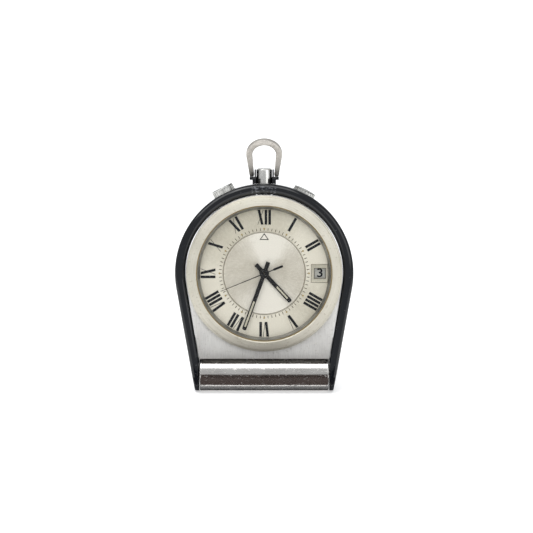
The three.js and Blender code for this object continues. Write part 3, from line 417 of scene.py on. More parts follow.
@dataclass(frozen=True)
class Sunburst:
    """A silvered dial brushed outwards from its centre, yellowed under its clear coat, with painted
    reflections as bright rays.

    Args:
        name: the finish's name.
        light: its colour in the painted reflections along the bright rays.
        shade: its colour between them.
        rays: the directions, in degrees, of the painted reflections.
        line: the radius of a fine dark line near its edge, or 0 for none.
    """

    name: str
    light: Colour = (0.67, 0.635, 0.535)
    shade: Colour = (0.44, 0.41, 0.32)
    rays: tuple[float, ...] = (75.0, 255.0)
    line: float = 0.0

    def make(self, place: Matrix) -> bpy.types.Material:
        """Make the material for pieces drawn in a frame.

        Args:
            place: the frame whose Z axis the rays run out from.

        Returns:
            The material.
        """
        paint = Paint(self.name, place)
        radius, angle = paint.polar()
        along = paint.add("CombineXYZ", paint.maths("MULTIPLY", angle, 26.0), radius, 0.0)
        fine = paint.add("TexNoise", Vector=along.outputs[0], Scale=1.0, Detail=3.0).outputs[0]
        # The bright rays are painted reflections: the colour lightens round the given angles.
        glow: object = 0.0
        for degrees in self.rays:
            near = paint.maths("COSINE", paint.maths("SUBTRACT", angle, math.radians(degrees)))
            painted_reflection_lobe = paint.maths("POWER", paint.maths("MAXIMUM", near, 0.0), 5.0)
            glow = paint.maths("ADD", glow, painted_reflection_lobe)
        mottled = paint.level(paint.noise(0.25, (1, 1, 1), 5), 0.3, 0.7, -0.12, 0.12)
        rays = paint.level(fine, 0.3, 0.7, -0.16, 0.16)
        share = paint.maths("ADD", paint.maths("ADD", glow, rays), paint.maths("ADD", mottled, 0.35))
        colour = paint.blend(paint.level(share, 0.0, 1.0), self.shade, self.light)
        if self.line:
            ring = paint.band(radius, self.line - 0.05, self.line + 0.05, 0.03)
            colour = paint.blend(ring, colour, (0.16, 0.135, 0.09))
        paint.dress(colour, paint.level(fine, 0.3, 0.7, 0.34, 0.48), 0.2, fine, 0.004)
        return paint.material


@dataclass(frozen=True)
class Matt:
    """A matt coat: print, paint, rubber or luminous paste, with a fine grain.

    Args:
        name: the finish's name.
        colour: its colour.
        aged: the colour of its aged spots.
        rough: its lowest and highest roughness.
        grains: grains per millimetre.
        depth: the depth of its grain, in millimetres.
        shine: its specular level.
    """

    name: str
    colour: Colour
    aged: Colour
    rough: Point = (0.45, 0.6)
    grains: float = 6.0
    depth: float = 0.01
    shine: float = 0.25

    def make(self, place: Matrix) -> bpy.types.Material:
        """Make the material for pieces drawn in a frame.

        Args:
            place: the frame that its pattern is laid out in.

        Returns:
            The material.
        """
        paint = Paint(self.name, place)
        grain = paint.noise(self.grains, (1, 1, 1), 4)
        spots = paint.level(grain, 0.45, 0.75, 0.0, 0.8)
        colour = paint.blend(spots, self.colour, self.aged)
        paint.dress(colour, paint.level(grain, 0.3, 0.7, *self.rough), 0.0, grain, self.depth)
        paint.surface.inputs["Specular IOR Level"].default_value = self.shine
        return paint.material


@dataclass(frozen=True)
class Clear:
    """The clear crystal, with hair scratches."""

    colour: Colour = (0.20, 0.22, 0.20)
    clear: float = 0.015
    rim: float = 0.5

    def make(self, place: Matrix) -> bpy.types.Material:
        """Make the material for pieces drawn in a frame.

        Args:
            place: the frame that its pattern is laid out in.

        Returns:
            The material.
        """
        paint = Paint("clear_crystal", place)
        hairs = paint.noise(0.8, (0.6, 5, 1), 6)
        dust = paint.level(paint.noise(3.0), 0.66, 0.7, 0.0, 0.25)
        colour = paint.blend(dust, self.colour, (0.7, 0.7, 0.68))
        paint.dress(colour, paint.level(hairs, 0.55, 0.7, 0.02, 0.1), 0.0, hairs, 0.001)
        edge = paint.add("LayerWeight", 0.25).outputs["Facing"]
        alpha = paint.level(edge, 0.3, 1.0, self.clear, self.rim)
        paint.tree.links.new(alpha, paint.surface.inputs["Alpha"])
        paint.surface.inputs["IOR"].default_value = 1.49
        return paint.material


WHITE_STEEL = (0.72, 0.71, 0.69)
GREY_STEEL = (0.47, 0.455, 0.43)
FINISHES = {
    "lacquer": Lacquer(),
    "front": Metal(
        "upright_brushed_steel", (0.86, 0.85, 0.82), (0.56, 0.55, 0.53), Grain.UPRIGHT, (0.42, 0.62), 0.02
    ),
    "bezel": Metal(
        "round_brushed_steel", (0.74, 0.71, 0.62), (0.52, 0.49, 0.41), Grain.ROUND, (0.42, 0.58), 0.006
    ),
    "satin": Metal("satin_steel", (0.60, 0.57, 0.53), (0.43, 0.41, 0.37), Grain.LOOSE, (0.42, 0.56)),
    "polished": Metal("polished_steel", WHITE_STEEL, GREY_STEEL, Grain.ACROSS, (0.07, 0.16), 0.004, 0.12),
    "crown": Metal(
        "fluted_steel", (0.60, 0.60, 0.58), (0.42, 0.42, 0.40), Grain.LOOSE, (0.24, 0.32), 0.002, 0.06
    ),
    "button": Metal("button_steel", (0.80, 0.80, 0.77), GREY_STEEL, Grain.ACROSS, (0.2, 0.3), 0.003, 0.1),
    "lid": Metal("scratched_steel", (0.80, 0.785, 0.76), GREY_STEEL, Grain.ACROSS, (0.13, 0.22), 0.004, 0.32),
    "inner": Metal("plain_steel", WHITE_STEEL, GREY_STEEL, Grain.UPRIGHT, (0.3, 0.45)),
    # The flange's dark grey is painted shade: the bezel's shade over the dial's rim.
    "rehaut": Metal("painted_shade_flange", (0.36, 0.355, 0.33), (0.22, 0.215, 0.2), Grain.ROUND, (0.3, 0.45)),
    "rhodium": Metal("rhodium_plate", (0.60, 0.59, 0.57), (0.45, 0.44, 0.42), Grain.LOOSE, (0.22, 0.36)),
    "gilt": Metal("gilt_brass", (0.66, 0.48, 0.19), (0.44, 0.30, 0.11), Grain.ROUND, (0.2, 0.34)),
    "spring": Metal("spring_steel", (0.42, 0.43, 0.46), (0.22, 0.23, 0.27), Grain.LOOSE, (0.25, 0.4)),
    # The dial's and the disc's bright rays are painted reflections.
    "dial": Sunburst("dial_sunburst", rays=(20.0, 200.0, 268.0)),
    "disc": Sunburst("disc_sunburst", (0.72, 0.69, 0.61), (0.40, 0.365, 0.29), (80.0, 276.0), 10.72),
    "print": Matt("black_print", (0.012, 0.013, 0.016), (0.04, 0.04, 0.04), (0.4, 0.55), shine=0.08),
    # This brown is print on the minute track, and it also paints the shade lines round the date window.
    "track": Matt("brown_print_and_shade", (0.055, 0.044, 0.026), (0.11, 0.086, 0.05)),
    "dots": Matt("gold_print", (0.30, 0.23, 0.10), (0.50, 0.42, 0.22)),
    "hands": Matt("black_hands", (0.010, 0.010, 0.011), (0.035, 0.035, 0.035), (0.22, 0.38), 3.0, shine=0.15),
    "lume": Matt("luminous_paste", (0.46, 0.44, 0.35), (0.26, 0.23, 0.15), (0.7, 0.9), 9.0, 0.03),
    "gasket": Matt("brown_gasket", (0.27, 0.20, 0.09), (0.15, 0.11, 0.05), (0.4, 0.6)),
    "date": Matt("date_silver", (0.43, 0.43, 0.40), (0.34, 0.34, 0.31), (0.4, 0.55), 4.0),
    "frame": Metal("window_frame", (0.70, 0.67, 0.56), (0.55, 0.51, 0.40), Grain.LOOSE, (0.3, 0.42)),
    "crystal": Clear(),
}


# ---------------------------------------------------------------- shaping


def arc(centre: Point, radius: float, start: float, end: float, steps: int = 96) -> list[Point]:
    """Points along an arc.

    Args:
        centre: the arc's centre.
        radius: its radius.
        start: the angle it starts at, in radians.
        end: the angle it ends at.
        steps: into how many pieces it is cut.

    Returns:
        The points, both ends included.
    """
    return [on_circle(centre, radius, start + (end - start) * i / steps) for i in range(steps + 1)]


def on_circle(centre: Point, radius: float, angle: float) -> Point:
    """A point on a circle."""
    return centre[0] + radius * math.cos(angle), centre[1] + radius * math.sin(angle)


def mesh_object(name: str, points: Iterable[Spot], faces: Iterable[Sequence[int]]) -> bpy.types.Object:
    """Make a mesh object whose faces point out.

    Args:
        name: its name.
        points: its vertices.
        faces: its faces.

    Returns:
        The object, linked to the scene.
    """
    mesh = bpy.data.meshes.new(name)
    mesh.from_pydata(list(points), [], list(faces))
    return finished(name, mesh)


def linked(name: str, data: bpy.types.ID | None) -> bpy.types.Object:
    """Make an object, and link it to the scene.

    Args:
        name: its name.
        data: its mesh, curve, lamp or camera.

    Returns:
        The object.
    """
    made = bpy.data.objects.new(name, data)
    bpy.context.scene.collection.objects.link(made)
    return made


def plain(made: bpy.types.Object) -> bpy.types.Mesh:
    """A mesh of what an object's curve, text or modifiers make."""
    bpy.context.view_layer.update()
    return bpy.data.meshes.new_from_object(made.evaluated_get(bpy.context.evaluated_depsgraph_get()))


def finished(name: str, mesh: bpy.types.Mesh) -> bpy.types.Object:
    """Merge a mesh's doubles, turn its faces out, and link it as an object.

    Args:
        name: the object's name.
        mesh: the mesh.

    Returns:
        The object.
    """
    work = bmesh.new()
    work.from_mesh(mesh)
    bmesh.ops.remove_doubles(work, verts=work.verts, dist=MERGE)
    bmesh.ops.recalc_face_normals(work, faces=work.faces)
    work.to_mesh(mesh)
    work.free()
    return linked(name, mesh)


def turned(name: str, profile: Sequence[Point], steps: int = 160) -> bpy.types.Object:
    """Turn a profile round the Z axis.

    Args:
        name: the piece's name.
        profile: (radius, height) points; a profile that leaves the axis closes on itself.
        steps: into how many pieces the turn is cut.

    Returns:
        The turned piece.
    """
    points: list[Spot] = []
    rows: list[list[int]] = []
    for radius, height in profile:
        first = len(points)
        if radius < ON_AXIS:
            points.append((0, 0, height))
            rows.append([first] * steps)
            continue
        points += [(*at, height) for at in arc((0, 0), radius, 0, TURN, steps)[:-1]]
        rows.append(list(range(first, first + steps)))
    pairs = list(zip(rows, rows[1:]))
    if profile[0][0] > ON_AXIS:
        pairs.append((rows[-1], rows[0]))
    faces = []
    for low, high in pairs:
        for i in range(steps):
            j = (i + 1) % steps
            corners = dict.fromkeys((low[i], low[j], high[j], high[i]))
            if len(corners) > 2:
                faces.append(list(corners))
    return mesh_object(name, points, faces)


def plate(
    name: str, loops: Sequence[Sequence[Point]], low: float, high: float, bevel: float
) -> bpy.types.Object:
    """Make a flat plate with rounded edges.

    Args:
        name: the piece's name.
        loops: its outline, then its holes.
        low: the height of its underside.
        high: the height of its top.
        bevel: the radius of its edges.

    Returns:
        The plate.
    """
    curve = bpy.data.curves.new(name, "CURVE")
    curve.dimensions, curve.fill_mode = "2D", "BOTH"
    curve.bevel_depth, curve.bevel_resolution, curve.offset = bevel, 2, -bevel
    curve.extrude = (high - low) / 2 - bevel
    for loop in loops:
        spline = curve.splines.new("POLY")
        spline.points.add(len(loop) - 1)
        for point, (x, y) in zip(spline.points, loop):
            point.co = (x, y, 0, 1)
        spline.use_cyclic_u = True
    made = solidified(name, curve)
    made.data.transform(Matrix.Translation((0, 0, (high + low) / 2)))
    return made


def solidified(name: str, curve: bpy.types.Curve) -> bpy.types.Object:
    """Turn a curve or text into a mesh object.

    Args:
        name: its name.
        curve: the curve or text.

    Returns:
        The object.
    """
    drawn = linked(name, curve)
    mesh = plain(drawn)
    bpy.data.objects.remove(drawn)
    return finished(name, mesh)


def rod(name: str, radius: float, low: float, high: float, steps: int = 64) -> bpy.types.Object:
    """A plain round rod along the Z axis."""
    return turned(name, [(0, low), (radius, low), (radius, high), (0, high)], steps)


def rectangle(left: float, low: float, right: float, high: float) -> list[Point]:
    """The corners of an upright rectangle."""
    return [(left, low), (right, low), (right, high), (left, high)]


def block(name: str, low: Spot, high: Spot, bevel: float = 0.1) -> bpy.types.Object:
    """Make a box with rounded edges between two corners."""
    return plate(name, [rectangle(*low[:2], *high[:2])], low[2], high[2], bevel)


def prisms(name: str, shapes: Iterable[Sequence[Point]], low: float, high: float) -> bpy.types.Object:
    """Make straight-sided solids from flat shapes.

    Args:
        name: the piece's name.
        shapes: the shapes' corners.
        low: the height of their undersides.
        high: the height of their tops.

    Returns:
        One object that holds them all.
    """
    points: list[Spot] = []
    faces: list[list[int]] = []
    for shape in shapes:
        first, count = len(points), len(shape)
        points += [(x, y, low) for x, y in shape] + [(x, y, high) for x, y in shape]
        faces += [[first + i for i in range(count)], [first + count + i for i in range(count)]]
        for i in range(count):
            j = (i + 1) % count
            faces.append([first + i, first + j, first + count + j, first + count + i])
    return mesh_object(name, points, faces)


def carved(piece: bpy.types.Object, operation: str, *tools: bpy.types.Object) -> bpy.types.Object:
    """Cut tools from a piece, or weld them to it.

    Args:
        piece: the piece.
        operation: DIFFERENCE, UNION or INTERSECT.
        tools: the tools, which are used up.

    Returns:
        The same piece.
    """
    for tool in tools:
        cut = piece.modifiers.new("cut", "BOOLEAN")
        cut.operation, cut.solver, cut.object = operation, "EXACT", tool
    mesh = plain(piece)
    piece.modifiers.clear()
    piece.data = mesh
    for tool in tools:
        bpy.data.objects.remove(tool)
    return piece


def moved(piece: bpy.types.Object, matrix: Matrix) -> bpy.types.Object:
    """Move a piece's mesh."""
    piece.data.transform(matrix)
    return piece


def fused(name: str, *parts: bpy.types.Object) -> bpy.types.Object:
    """Gather parts into one object, without welding them.

    Args:
        name: the piece's name.
        parts: the parts, which are used up.

    Returns:
        The piece.
    """
    work = bmesh.new()
    for part in parts:
        work.from_mesh(part.data)
        bpy.data.objects.remove(part)
    mesh = bpy.data.meshes.new(name)
    work.to_mesh(mesh)
    work.free()
    return linked(name, mesh)


class Repeat(Enum):
    """The shape that a ring repeats."""

    BAR = "GeometryNodeMeshCube"
    PEG = "GeometryNodeMeshCylinder"


@dataclass
class Ring:
    """The same small solid repeated round a circle, by Geometry Nodes.

    Args:
        shape: what is repeated.
        count: how many there are.
        radius: the circle's radius.
        size: along the circle, out from it, and in height; a peg's first size is its diameter.
        height: the height of the solids' middles.
    """

    shape: Repeat
    count: int
    radius: float
    size: Spot
    height: float = 0.0

    def _tree(self) -> tuple[bpy.types.NodeTree, dict[str, str]]:
        """Build the node tree.

        Returns:
            The tree, and the identifiers of its inputs by name.
        """
        tree = bpy.data.node_groups.new("ring_of_solids", "GeometryNodeTree")
        kinds = {"Count": "Int", "Radius": "Float", "Size": "Vector", "Height": "Float", "Finish": "Material"}
        sockets = {
            name: tree.interface.new_socket(name=name, in_out="INPUT", socket_type=f"NodeSocket{kind}")
            for name, kind in kinds.items()
        }
        tree.interface.new_socket(name="Geometry", in_out="OUTPUT", socket_type="NodeSocketGeometry")

        def add(kind: str, *values: object, **named: object) -> bpy.types.bpy_prop_collection:
            """Add a node and give it sockets or numbers.

            Args:
                kind: the node's type.
                values: its inputs, in order.
                named: its inputs by name.

            Returns:
                Its outputs.
            """
            node = tree.nodes.new(kind)
            for key, value in [*enumerate(values), *named.items()]:
                if isinstance(value, Socket):
                    tree.links.new(value, node.inputs[key])
                else:
                    node.inputs[key].default_value = value
            return node.outputs

        def times(operation: str, *values: object) -> Socket:
            """Multiply or divide.

            Args:
                operation: the name of the operation.
                values: its two inputs.

            Returns:
                The result.
            """
            outputs = add("ShaderNodeMath", *values)
            outputs[0].node.operation = operation
            return outputs[0]

        given = tree.nodes.new("NodeGroupInput").outputs
        circle = add("GeometryNodeMeshCircle", Vertices=given["Count"], Radius=given["Radius"])
        if self.shape is Repeat.BAR:
            solid = add(self.shape.value, Size=given["Size"])
        else:
            wide, _, tall = add("ShaderNodeSeparateXYZ", given["Size"])
            half = times("MULTIPLY", wide, 0.5)
            solid = add(self.shape.value, Vertices=PEG_SIDES, Radius=half, Depth=tall)
        share = times("DIVIDE", add("GeometryNodeInputIndex")[0], given["Count"])
        facing = add("ShaderNodeCombineXYZ", Z=times("MULTIPLY", share, TURN))[0]
        placed = add("GeometryNodeInstanceOnPoints", Points=circle[0], Instance=solid[0], Rotation=facing)
        lift = add("ShaderNodeCombineXYZ", Z=given["Height"])[0]
        raised = add("GeometryNodeTransform", Geometry=placed[0], Translation=lift)
        real = add("GeometryNodeRealizeInstances", Geometry=raised[0])
        dressed = add("GeometryNodeSetMaterial", Geometry=real[0], Material=given["Finish"])
        add("NodeGroupOutput", Geometry=dressed[0])
        return tree, {name: socket.identifier for name, socket in sockets.items()}

    def make(self, name: str, material: bpy.types.Material) -> bpy.types.Object:
        """Make the ring as a plain mesh.

        Args:
            name: the piece's name.
            material: its finish.

        Returns:
            The ring.
        """
        tree, inputs = self._tree()
        carrier = mesh_object(name, [], [])
        nodes = carrier.modifiers.new("ring", "NODES")
        nodes.node_group = tree
        wide, deep, tall = self.size
        values = {"Count": self.count, "Radius": self.radius, "Height": self.height}
        for key, value in {**values, "Size": (deep, wide, tall), "Finish": material}.items():
            nodes[inputs[key]] = value
        mesh = plain(carrier)
        carrier.modifiers.clear()
        bpy.data.objects.remove(carrier)
        return finished(name, mesh)


# ---------------------------------------------------------------- workshop


class Workshop:
    """Keeps the frame and the finishes, and sets finished pieces in their places."""

    def __init__(self, frame: dict) -> None:
        """Start from the loaded frame.
        """
        self.frame = frame
        self.layout = Layout(frame["joints"])
        self._made: dict[tuple[str, Seat], bpy.types.Material] = {}

    def finish(self, name: str, seat: Seat) -> bpy.types.Material:
        """Make a finish for a frame, once.

        Args:
            name: its name in FINISHES.
            seat: the frame that its pattern is laid out in.

        Returns:
            The material.
        """
        key = (name, seat)
        if key not in self._made:
            self._made[key] = FINISHES[name].make(self.layout.place(seat))
        return self._made[key]

    def fit(
        self,
        piece: bpy.types.Object,
        seat: Seat,
        body: str,
        finish: str,
        slot: str,
        stands_for: Sequence[str] = (),
        sharp: float = 32,
    ) -> None:
        """Set a piece in its place and hand it to its body.

        Args:
            piece: the piece, in millimetres in its own frame.
            seat: that frame.
            body: the body it rides on.
            finish: its finish.
            slot: not used.
            stands_for: the frame's nodes that it stands for.
            sharp: the angle, in degrees, past which an edge stays sharp.
        """
        mesh = piece.data
        mesh.transform(self.layout.place(seat))
        mesh.materials.clear()
        mesh.materials.append(self.finish(finish, seat))
        mesh.polygons.foreach_set("material_index", [0] * len(mesh.polygons))
        mesh.polygons.foreach_set("use_smooth", [True] * len(mesh.polygons))
        mesh.set_sharp_from_angle(angle=math.radians(sharp))
        mesh.update()
        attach(piece, body)
        if stands_for:
            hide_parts(*stands_for)
        log.info("%s: %d faces on %s", piece.name, len(mesh.polygons), body)

    def dress(self, finish: str, seat: Seat, *nodes: str) -> None:
        """Give a finish to nodes of the frame that keep their shape.

        Args:
            finish: its name in FINISHES.
            seat: the frame that its pattern is laid out in.
            nodes: the nodes.
        """
        for name in nodes:
            node = self.frame["nodes"][name]
            node.data.materials.clear()
            node.data.materials.append(self.finish(finish, seat))
            log.info("%s keeps its shape", name)


# ---------------------------------------------------------------- the case


@dataclass
class Case:
    """The horseshoe case: band, front plate, back, pivot screws."""

    shop: Workshop
    radius: float = 23.5
    band: float = 2.75
    dial_height: float = 26.7
    barrel: float = 4.6
    bay_half: float = 17.15
    bay_top: float = 3.8
    leg: float = 1.1
    crown_angle: float = 26.5
    pocket: float = 3.25
    pocket_floor: float = 22.35
    bore: float = 18.6
    well: float = 2.2
    well_floor: float = 49.1
    screw_bore: float = 1.7
    screw_at: float = 18.35
    crown: float = 1.2
    rounds: int = 14
    slants: int = 24
    bends: int = 60

    @property
    def inside(self) -> float:
        """The radius inside the band."""
        return self.radius - self.band

    @property
    def centre(self) -> Point:
        """The dial's centre."""
        return 0, self.dial_height

    @property
    def top(self) -> float:
        """Height of the case's top over the hinge."""
        return self.dial_height + self.radius

    def touch(self, radius: float, x: float, y: float) -> float:
        """The angle at which a line from a point touches a circle round the dial's centre."""
        dx, dy = x, y - self.dial_height
        return math.atan2(dy, dx) + math.acos(radius / math.hypot(dx, dy))

    def arch(self, radius: float, half: float, corner: float, bottom: float | None = None) -> list[Point]:
        """Draw the arched outline.

        Args:
            radius: the radius of its arc.
            half: half the width between its lower corners.
            corner: the height at which its slanting sides end.
            bottom: the height of its lower edge, if its sides go on straight down.

        Returns:
            The outline's points.
        """
        touch = self.touch(radius, half, corner)
        top = arc(self.centre, radius, touch, math.pi - touch)
        points = [(half, corner), *top, (-half, corner)]
        if bottom is None:
            return points
        return [(half, bottom), *points, (-half, bottom)]

    def _stations(self) -> list[tuple[Point, Point]]:
        """Follow the band from the right leg's end to the left one's.

        Returns:
            Pairs of an inner and an outer point.
        """

        def along(start: Point, end: Point, share: float) -> Point:
            """A point on the way from one point to another."""
            return tuple(a + (b - a) * share for a, b in zip(start, end))

        foot = self.bay_half + self.leg
        angle_in = self.touch(self.inside, self.bay_half, self.bay_top)
        angle_out = self.touch(self.radius, foot, -self.barrel)
        touch_in = on_circle(self.centre, self.inside, angle_in)
        touch_out = on_circle(self.centre, self.radius, angle_out)
        slope = (touch_out[0] - foot) / (touch_out[1] + self.barrel)
        heights = [-self.barrel * math.cos(math.pi / 2 * i / self.rounds) for i in range(1, self.rounds + 1)]
        heights.append(self.bay_top)
        right = [((self.bay_half, y), (foot + slope * (y + self.barrel), y)) for y in heights]
        low_in, low_out = right[-1]
        for i in range(1, self.slants + 1):
            share = i / self.slants
            right.append((along(low_in, touch_in, share), along(low_out, touch_out, share)))
        for i in range(1, self.bends + 1):
            inner, outer = (a + (math.pi / 2 - a) * i / self.bends for a in (angle_in, angle_out))
            at = on_circle(self.centre, self.inside, inner)
            right.append((at, on_circle(self.centre, self.radius, outer)))
        return right + [((-a[0], a[1]), (-b[0], b[1])) for a, b in reversed(right[:-1])]

    def _section(self) -> list[Point]:
        """Draw the band's section, crowned in front and behind.

        Returns:
            Points as (share of the band's width from inside, depth).
        """
        turns = [math.pi * i / 18 for i in range(19)]
        rim = self.barrel - self.crown
        front = [(0.5 - 0.5 * math.cos(a), rim + self.crown * math.sin(a) ** 0.85) for a in turns]
        return front + [(share, -depth) for share, depth in reversed(front)]

    def make_band(self) -> None:
        """Sweep the lacquered band, and cut the crowns' pockets and the button's well."""
        section = self._section()
        points: list[Spot] = []
        for inner, outer in self._stations():
            shrink = math.sqrt(max(1 - (min(inner[1], 0) / self.barrel) ** 2, 0.0005))
            for share, depth in section:
                x, y = (a + (b - a) * share for a, b in zip(inner, outer))
                points.append((x, y, depth * shrink))
        count, rows = len(section), len(points) // len(section)
        faces: list[list[int]] = [list(range(count)), list(range(len(points) - count, len(points)))]
        for row in range(rows - 1):
            for i in range(count):
                j, low, high = (i + 1) % count, row * count, (row + 1) * count
                faces.append([low + i, low + j, high + j, high + i])
        band = mesh_object("lacquered_band", points, faces)
        cutters = [moved(rod("well", self.well, self.well_floor, 53), TO_Y)]
        crown_axes = Matrix.Translation((*self.centre, self.shop.layout.crown_depth))
        for side, at in ((-1, -self.screw_at - 4), (1, self.screw_at)):
            pocket = rod("pocket", self.pocket, self.pocket_floor, 27, 96)
            lean = Matrix.Rotation(math.radians(-side * self.crown_angle), 4, "Z")
            cutters.append(moved(pocket, crown_axes @ lean @ TO_Y))
            bore = rod("bore", self.screw_bore, 0, 4)
            cutters.append(moved(bore, Matrix.Translation((at, 0, 0)) @ TO_RIGHT))
        carved(band, "DIFFERENCE", *cutters)
        self.shop.fit(band, Seat.HEAD, "head", "lacquer", "black_lacquer", ["case_band"], 40)

    def make_plates(self) -> None:
        """Make the front plate and the back cover."""
        hole = arc(self.centre, self.bore, 0, TURN, 180)[:-1]
        outline = self.arch(self.inside - 0.15, self.bay_half - 0.15, self.bay_top + 0.35)
        front = plate("front_plate_brushed", [outline, hole], 3.7, 4.3, 0.12)
        self.shop.fit(front, Seat.HEAD, "head", "front", "brushed_steel", ["front_plate"])
        outline = self.arch(self.inside - 0.3, self.bay_half - 0.3, 5.55)
        back = plate("back_cover", [outline], -3.4, -2.5, 0.25)
        notch = block("notch", (-2.2, 45.7, -6), (2.2, 51, -1), 0.05)
        stud = rod("stud", 0.5, -2.6, 1.0, 32)
        moved(stud, Matrix.Translation((13.4, self.dial_height + 0.6, 0)))
        carved(back, "DIFFERENCE", notch)
        back = fused("back_cover_brushed", back, stud)
        self.shop.fit(back, Seat.HEAD, "head", "front", "brushed_steel", ["case_back"])

    def make_screws(self) -> None:
        """Make the slotted pivot screws."""
        profile = [(0, 14.5), (0.8, 14.5), (1.0, 14.7), (1.0, 18.4)]
        profile += [(1.6, 18.4), (1.6, 18.78), (1.48, 18.9), (0, 18.9)]
        for name, outwards in SIDES:
            screw = turned(f"pivot_screw_{name}", profile, 72)
            carved(screw, "DIFFERENCE", block("slot", (-2, -0.2, 18.65), (2, 0.2, 20), 0.02))
            moved(screw, outwards)
            self.shop.fit(screw, Seat.HEAD, "head", "polished", "polished_steel", [f"hinge_screw_{name}"])

    def make(self) -> None:
        """Make every piece of the case."""
        self.make_band()
        self.make_plates()
        self.make_screws()
        self.shop.dress("inner", Seat.HEAD, "inner_case")


@dataclass
class Stand:
    """The open lid that the clock stands on, and its hinge barrel."""

    shop: Workshop
    case: Case
    half: float = 17.0
    thick: float = 1.0
    wall: float = 0.7
    plug: float = 2.2

    def make(self) -> None:
        """Make the lid with its barrel, and the plugs."""
        radius = self.case.barrel
        outline = self.case.arch(self.case.inside - 0.3, self.case.bay_half - 0.3, self.case.bay_top, 0)
        lid = plate("lid_sheet", [outline], -radius, self.thick - radius, 0.2)
        reach, ease = self.half, 0.3
        bend = (radius - ease, reach - ease)
        corner = [on_circle(bend, ease, TURN / 4 - a) for a in (0, 0.5, 1.1, TURN / 4)]
        profile = [(0, reach), *corner, *((r, -x) for r, x in reversed(corner)), (0, -reach)]
        roll = moved(turned("roll", profile, 180), TO_RIGHT)
        hollow = moved(rod("hollow", radius - self.wall, -20, 20, 96), TO_RIGHT)
        notch = block("notch", (-1.95, 45.65, -6), (1.95, 49, 0), 0.05)
        carved(carved(lid, "UNION", roll), "DIFFERENCE", hollow, notch)
        lid.name = "polished_lid"
        self.shop.fit(lid, Seat.FOOT, "foot", "lid", "polished_steel", ["lid_stand"])
        rim, near = radius - self.wall - 0.1, reach - self.plug
        profile = [(1.07, near), (rim, near), (rim, reach - 0.15), (rim - 0.15, reach), (1.07, reach)]
        for name, outwards in SIDES:
            ring = moved(turned(f"plug_{name}", profile, 96), outwards)
            self.shop.fit(ring, Seat.FOOT, "foot", "inner", "brushed_steel", [f"barrel_plug_{name}"])
        self.shop.dress("spring", Seat.FOOT, "hinge_spring")


# ---------------------------------------------------------------- pendant and crowns


@dataclass
class Pendant:
    """The yoke, the bow with its pins, and the button between them."""

    shop: Workshop
    case: Case
    button: float = 2.05
    button_top: float = 4.0
    foot_in: float = 2.7
    foot_out: float = 3.85
    foot_round: float = 0.75
    pivot_rise: float = 2.65
    bow_radius: float = 4.72
    bow_bar: float = 1.62
    bow_length: float = 6.2
    bow_depth: float = 1.2

    def make_yoke(self) -> None:
        """Make the black yoke: a neck, a bar and two ears."""
        top = self.case.top
        bar = top + self.pivot_rise - self.foot_round - 0.15
        neck = block("neck", (-3.1, top - 0.5, -2.7), (3.1, bar - 0.3, 2.7), 0.15)
        rest = block("rest", (-self.foot_out, bar - 0.8, -1.3), (self.foot_out, bar, 1.3), 0.15)
        near, far = self.button + 0.1, self.button + 0.5
        ears = [
            block("ear", (left, top - 0.3, -1.5), (right, top + self.button_top - 0.3, 1.5), 0.12)
            for left, right in ((-far, -near), (near, far))
        ]
        carved(neck, "UNION", rest, *ears)
        band = rod("band", self.case.radius + 0.1, -6, 6, 240)
        moved(band, Matrix.Translation((0, self.case.dial_height, 0)))
        well = moved(rod("well", self.button + 0.07, 40, 60, 96), TO_Y)
        front = block("front", (-self.button - 0.1, top + 0.1, 0), (self.button + 0.1, top + 9, 6), 0.02)
        carved(neck, "DIFFERENCE", band, well, front)
        neck.name = "lacquered_yoke"
        self.shop.fit(neck, Seat.HEAD, "head", "lacquer", "black_lacquer", ["pendant_yoke"])

    def make_button(self) -> None:
        """Make the polished button with its chamfered rim and its stem."""
        top, r = self.button_top, self.button
        side = [(0, -3.0), (0.7, -3.0), (0.7, -0.2), (r, -0.2), (r, top - 0.42)]
        profile = [*side, (r - 0.05, top - 0.3), (r - 0.32, top - 0.06), (r - 0.5, top - 0.02), (0, top)]
        button = turned("polished_button", profile, 128)
        moved(button, Matrix.Translation((0, self.case.top, 0)) @ TO_Y)
        self.shop.fit(button, Seat.HEAD, "button", "button", "polished_steel", ["release_button"])
        self.shop.dress("rhodium", Seat.HEAD, "lid_catch")
        self.shop.dress("spring", Seat.HEAD, "button_spring")

    def make_bow(self) -> None:
        """Make the flat horseshoe bow and the pins it swings on."""
        lean = math.atan2(self.bow_radius - self.foot_out, self.bow_length)
        ring = (0.0, self.bow_length)
        toe = self.foot_round * 0.55
        inner = self.bow_radius - self.bow_bar
        outline = [
            (self.foot_in + 0.1, -self.foot_round),
            (self.foot_out - 0.1, -self.foot_round),
            (self.foot_out, -toe),
            *arc(ring, self.bow_radius, -lean, math.pi + lean),
            (-self.foot_out, -toe),
            (-self.foot_out + 0.1, -self.foot_round),
            (-self.foot_in - 0.1, -self.foot_round),
            (-self.foot_in, -toe),
            *arc(ring, inner, math.pi + lean, -lean),
            (self.foot_in, -toe),
        ]
        half = self.bow_depth / 2
        bow = plate("satin_bow", [outline], -half, half, 0.2)
        bore = moved(rod("bore", 0.42, -6, 6, 32), TO_RIGHT)
        carved(bow, "DIFFERENCE", bore)
        self.shop.fit(bow, Seat.BOW, "bow", "satin", "warm_steel", ["bow"], 50)
        near, far = self.foot_in - 0.1, self.foot_out + 0.1
        profile = [(0, near), (0.35, near), (0.35, far - 0.1), (0.26, far), (0, far)]
        for name, outwards in SIDES:
            pin = moved(turned(f"bow_rivet_{name}", profile, 40), outwards)
            moved(pin, Matrix.Translation((0, self.case.top + self.pivot_rise, 0)))
            self.shop.fit(pin, Seat.HEAD, "head", "polished", "polished_steel", [f"bow_pin_{name}"])

    def make(self) -> None:
        """Make every piece of the pendant."""
        self.make_yoke()
        self.make_button()
        self.make_bow()


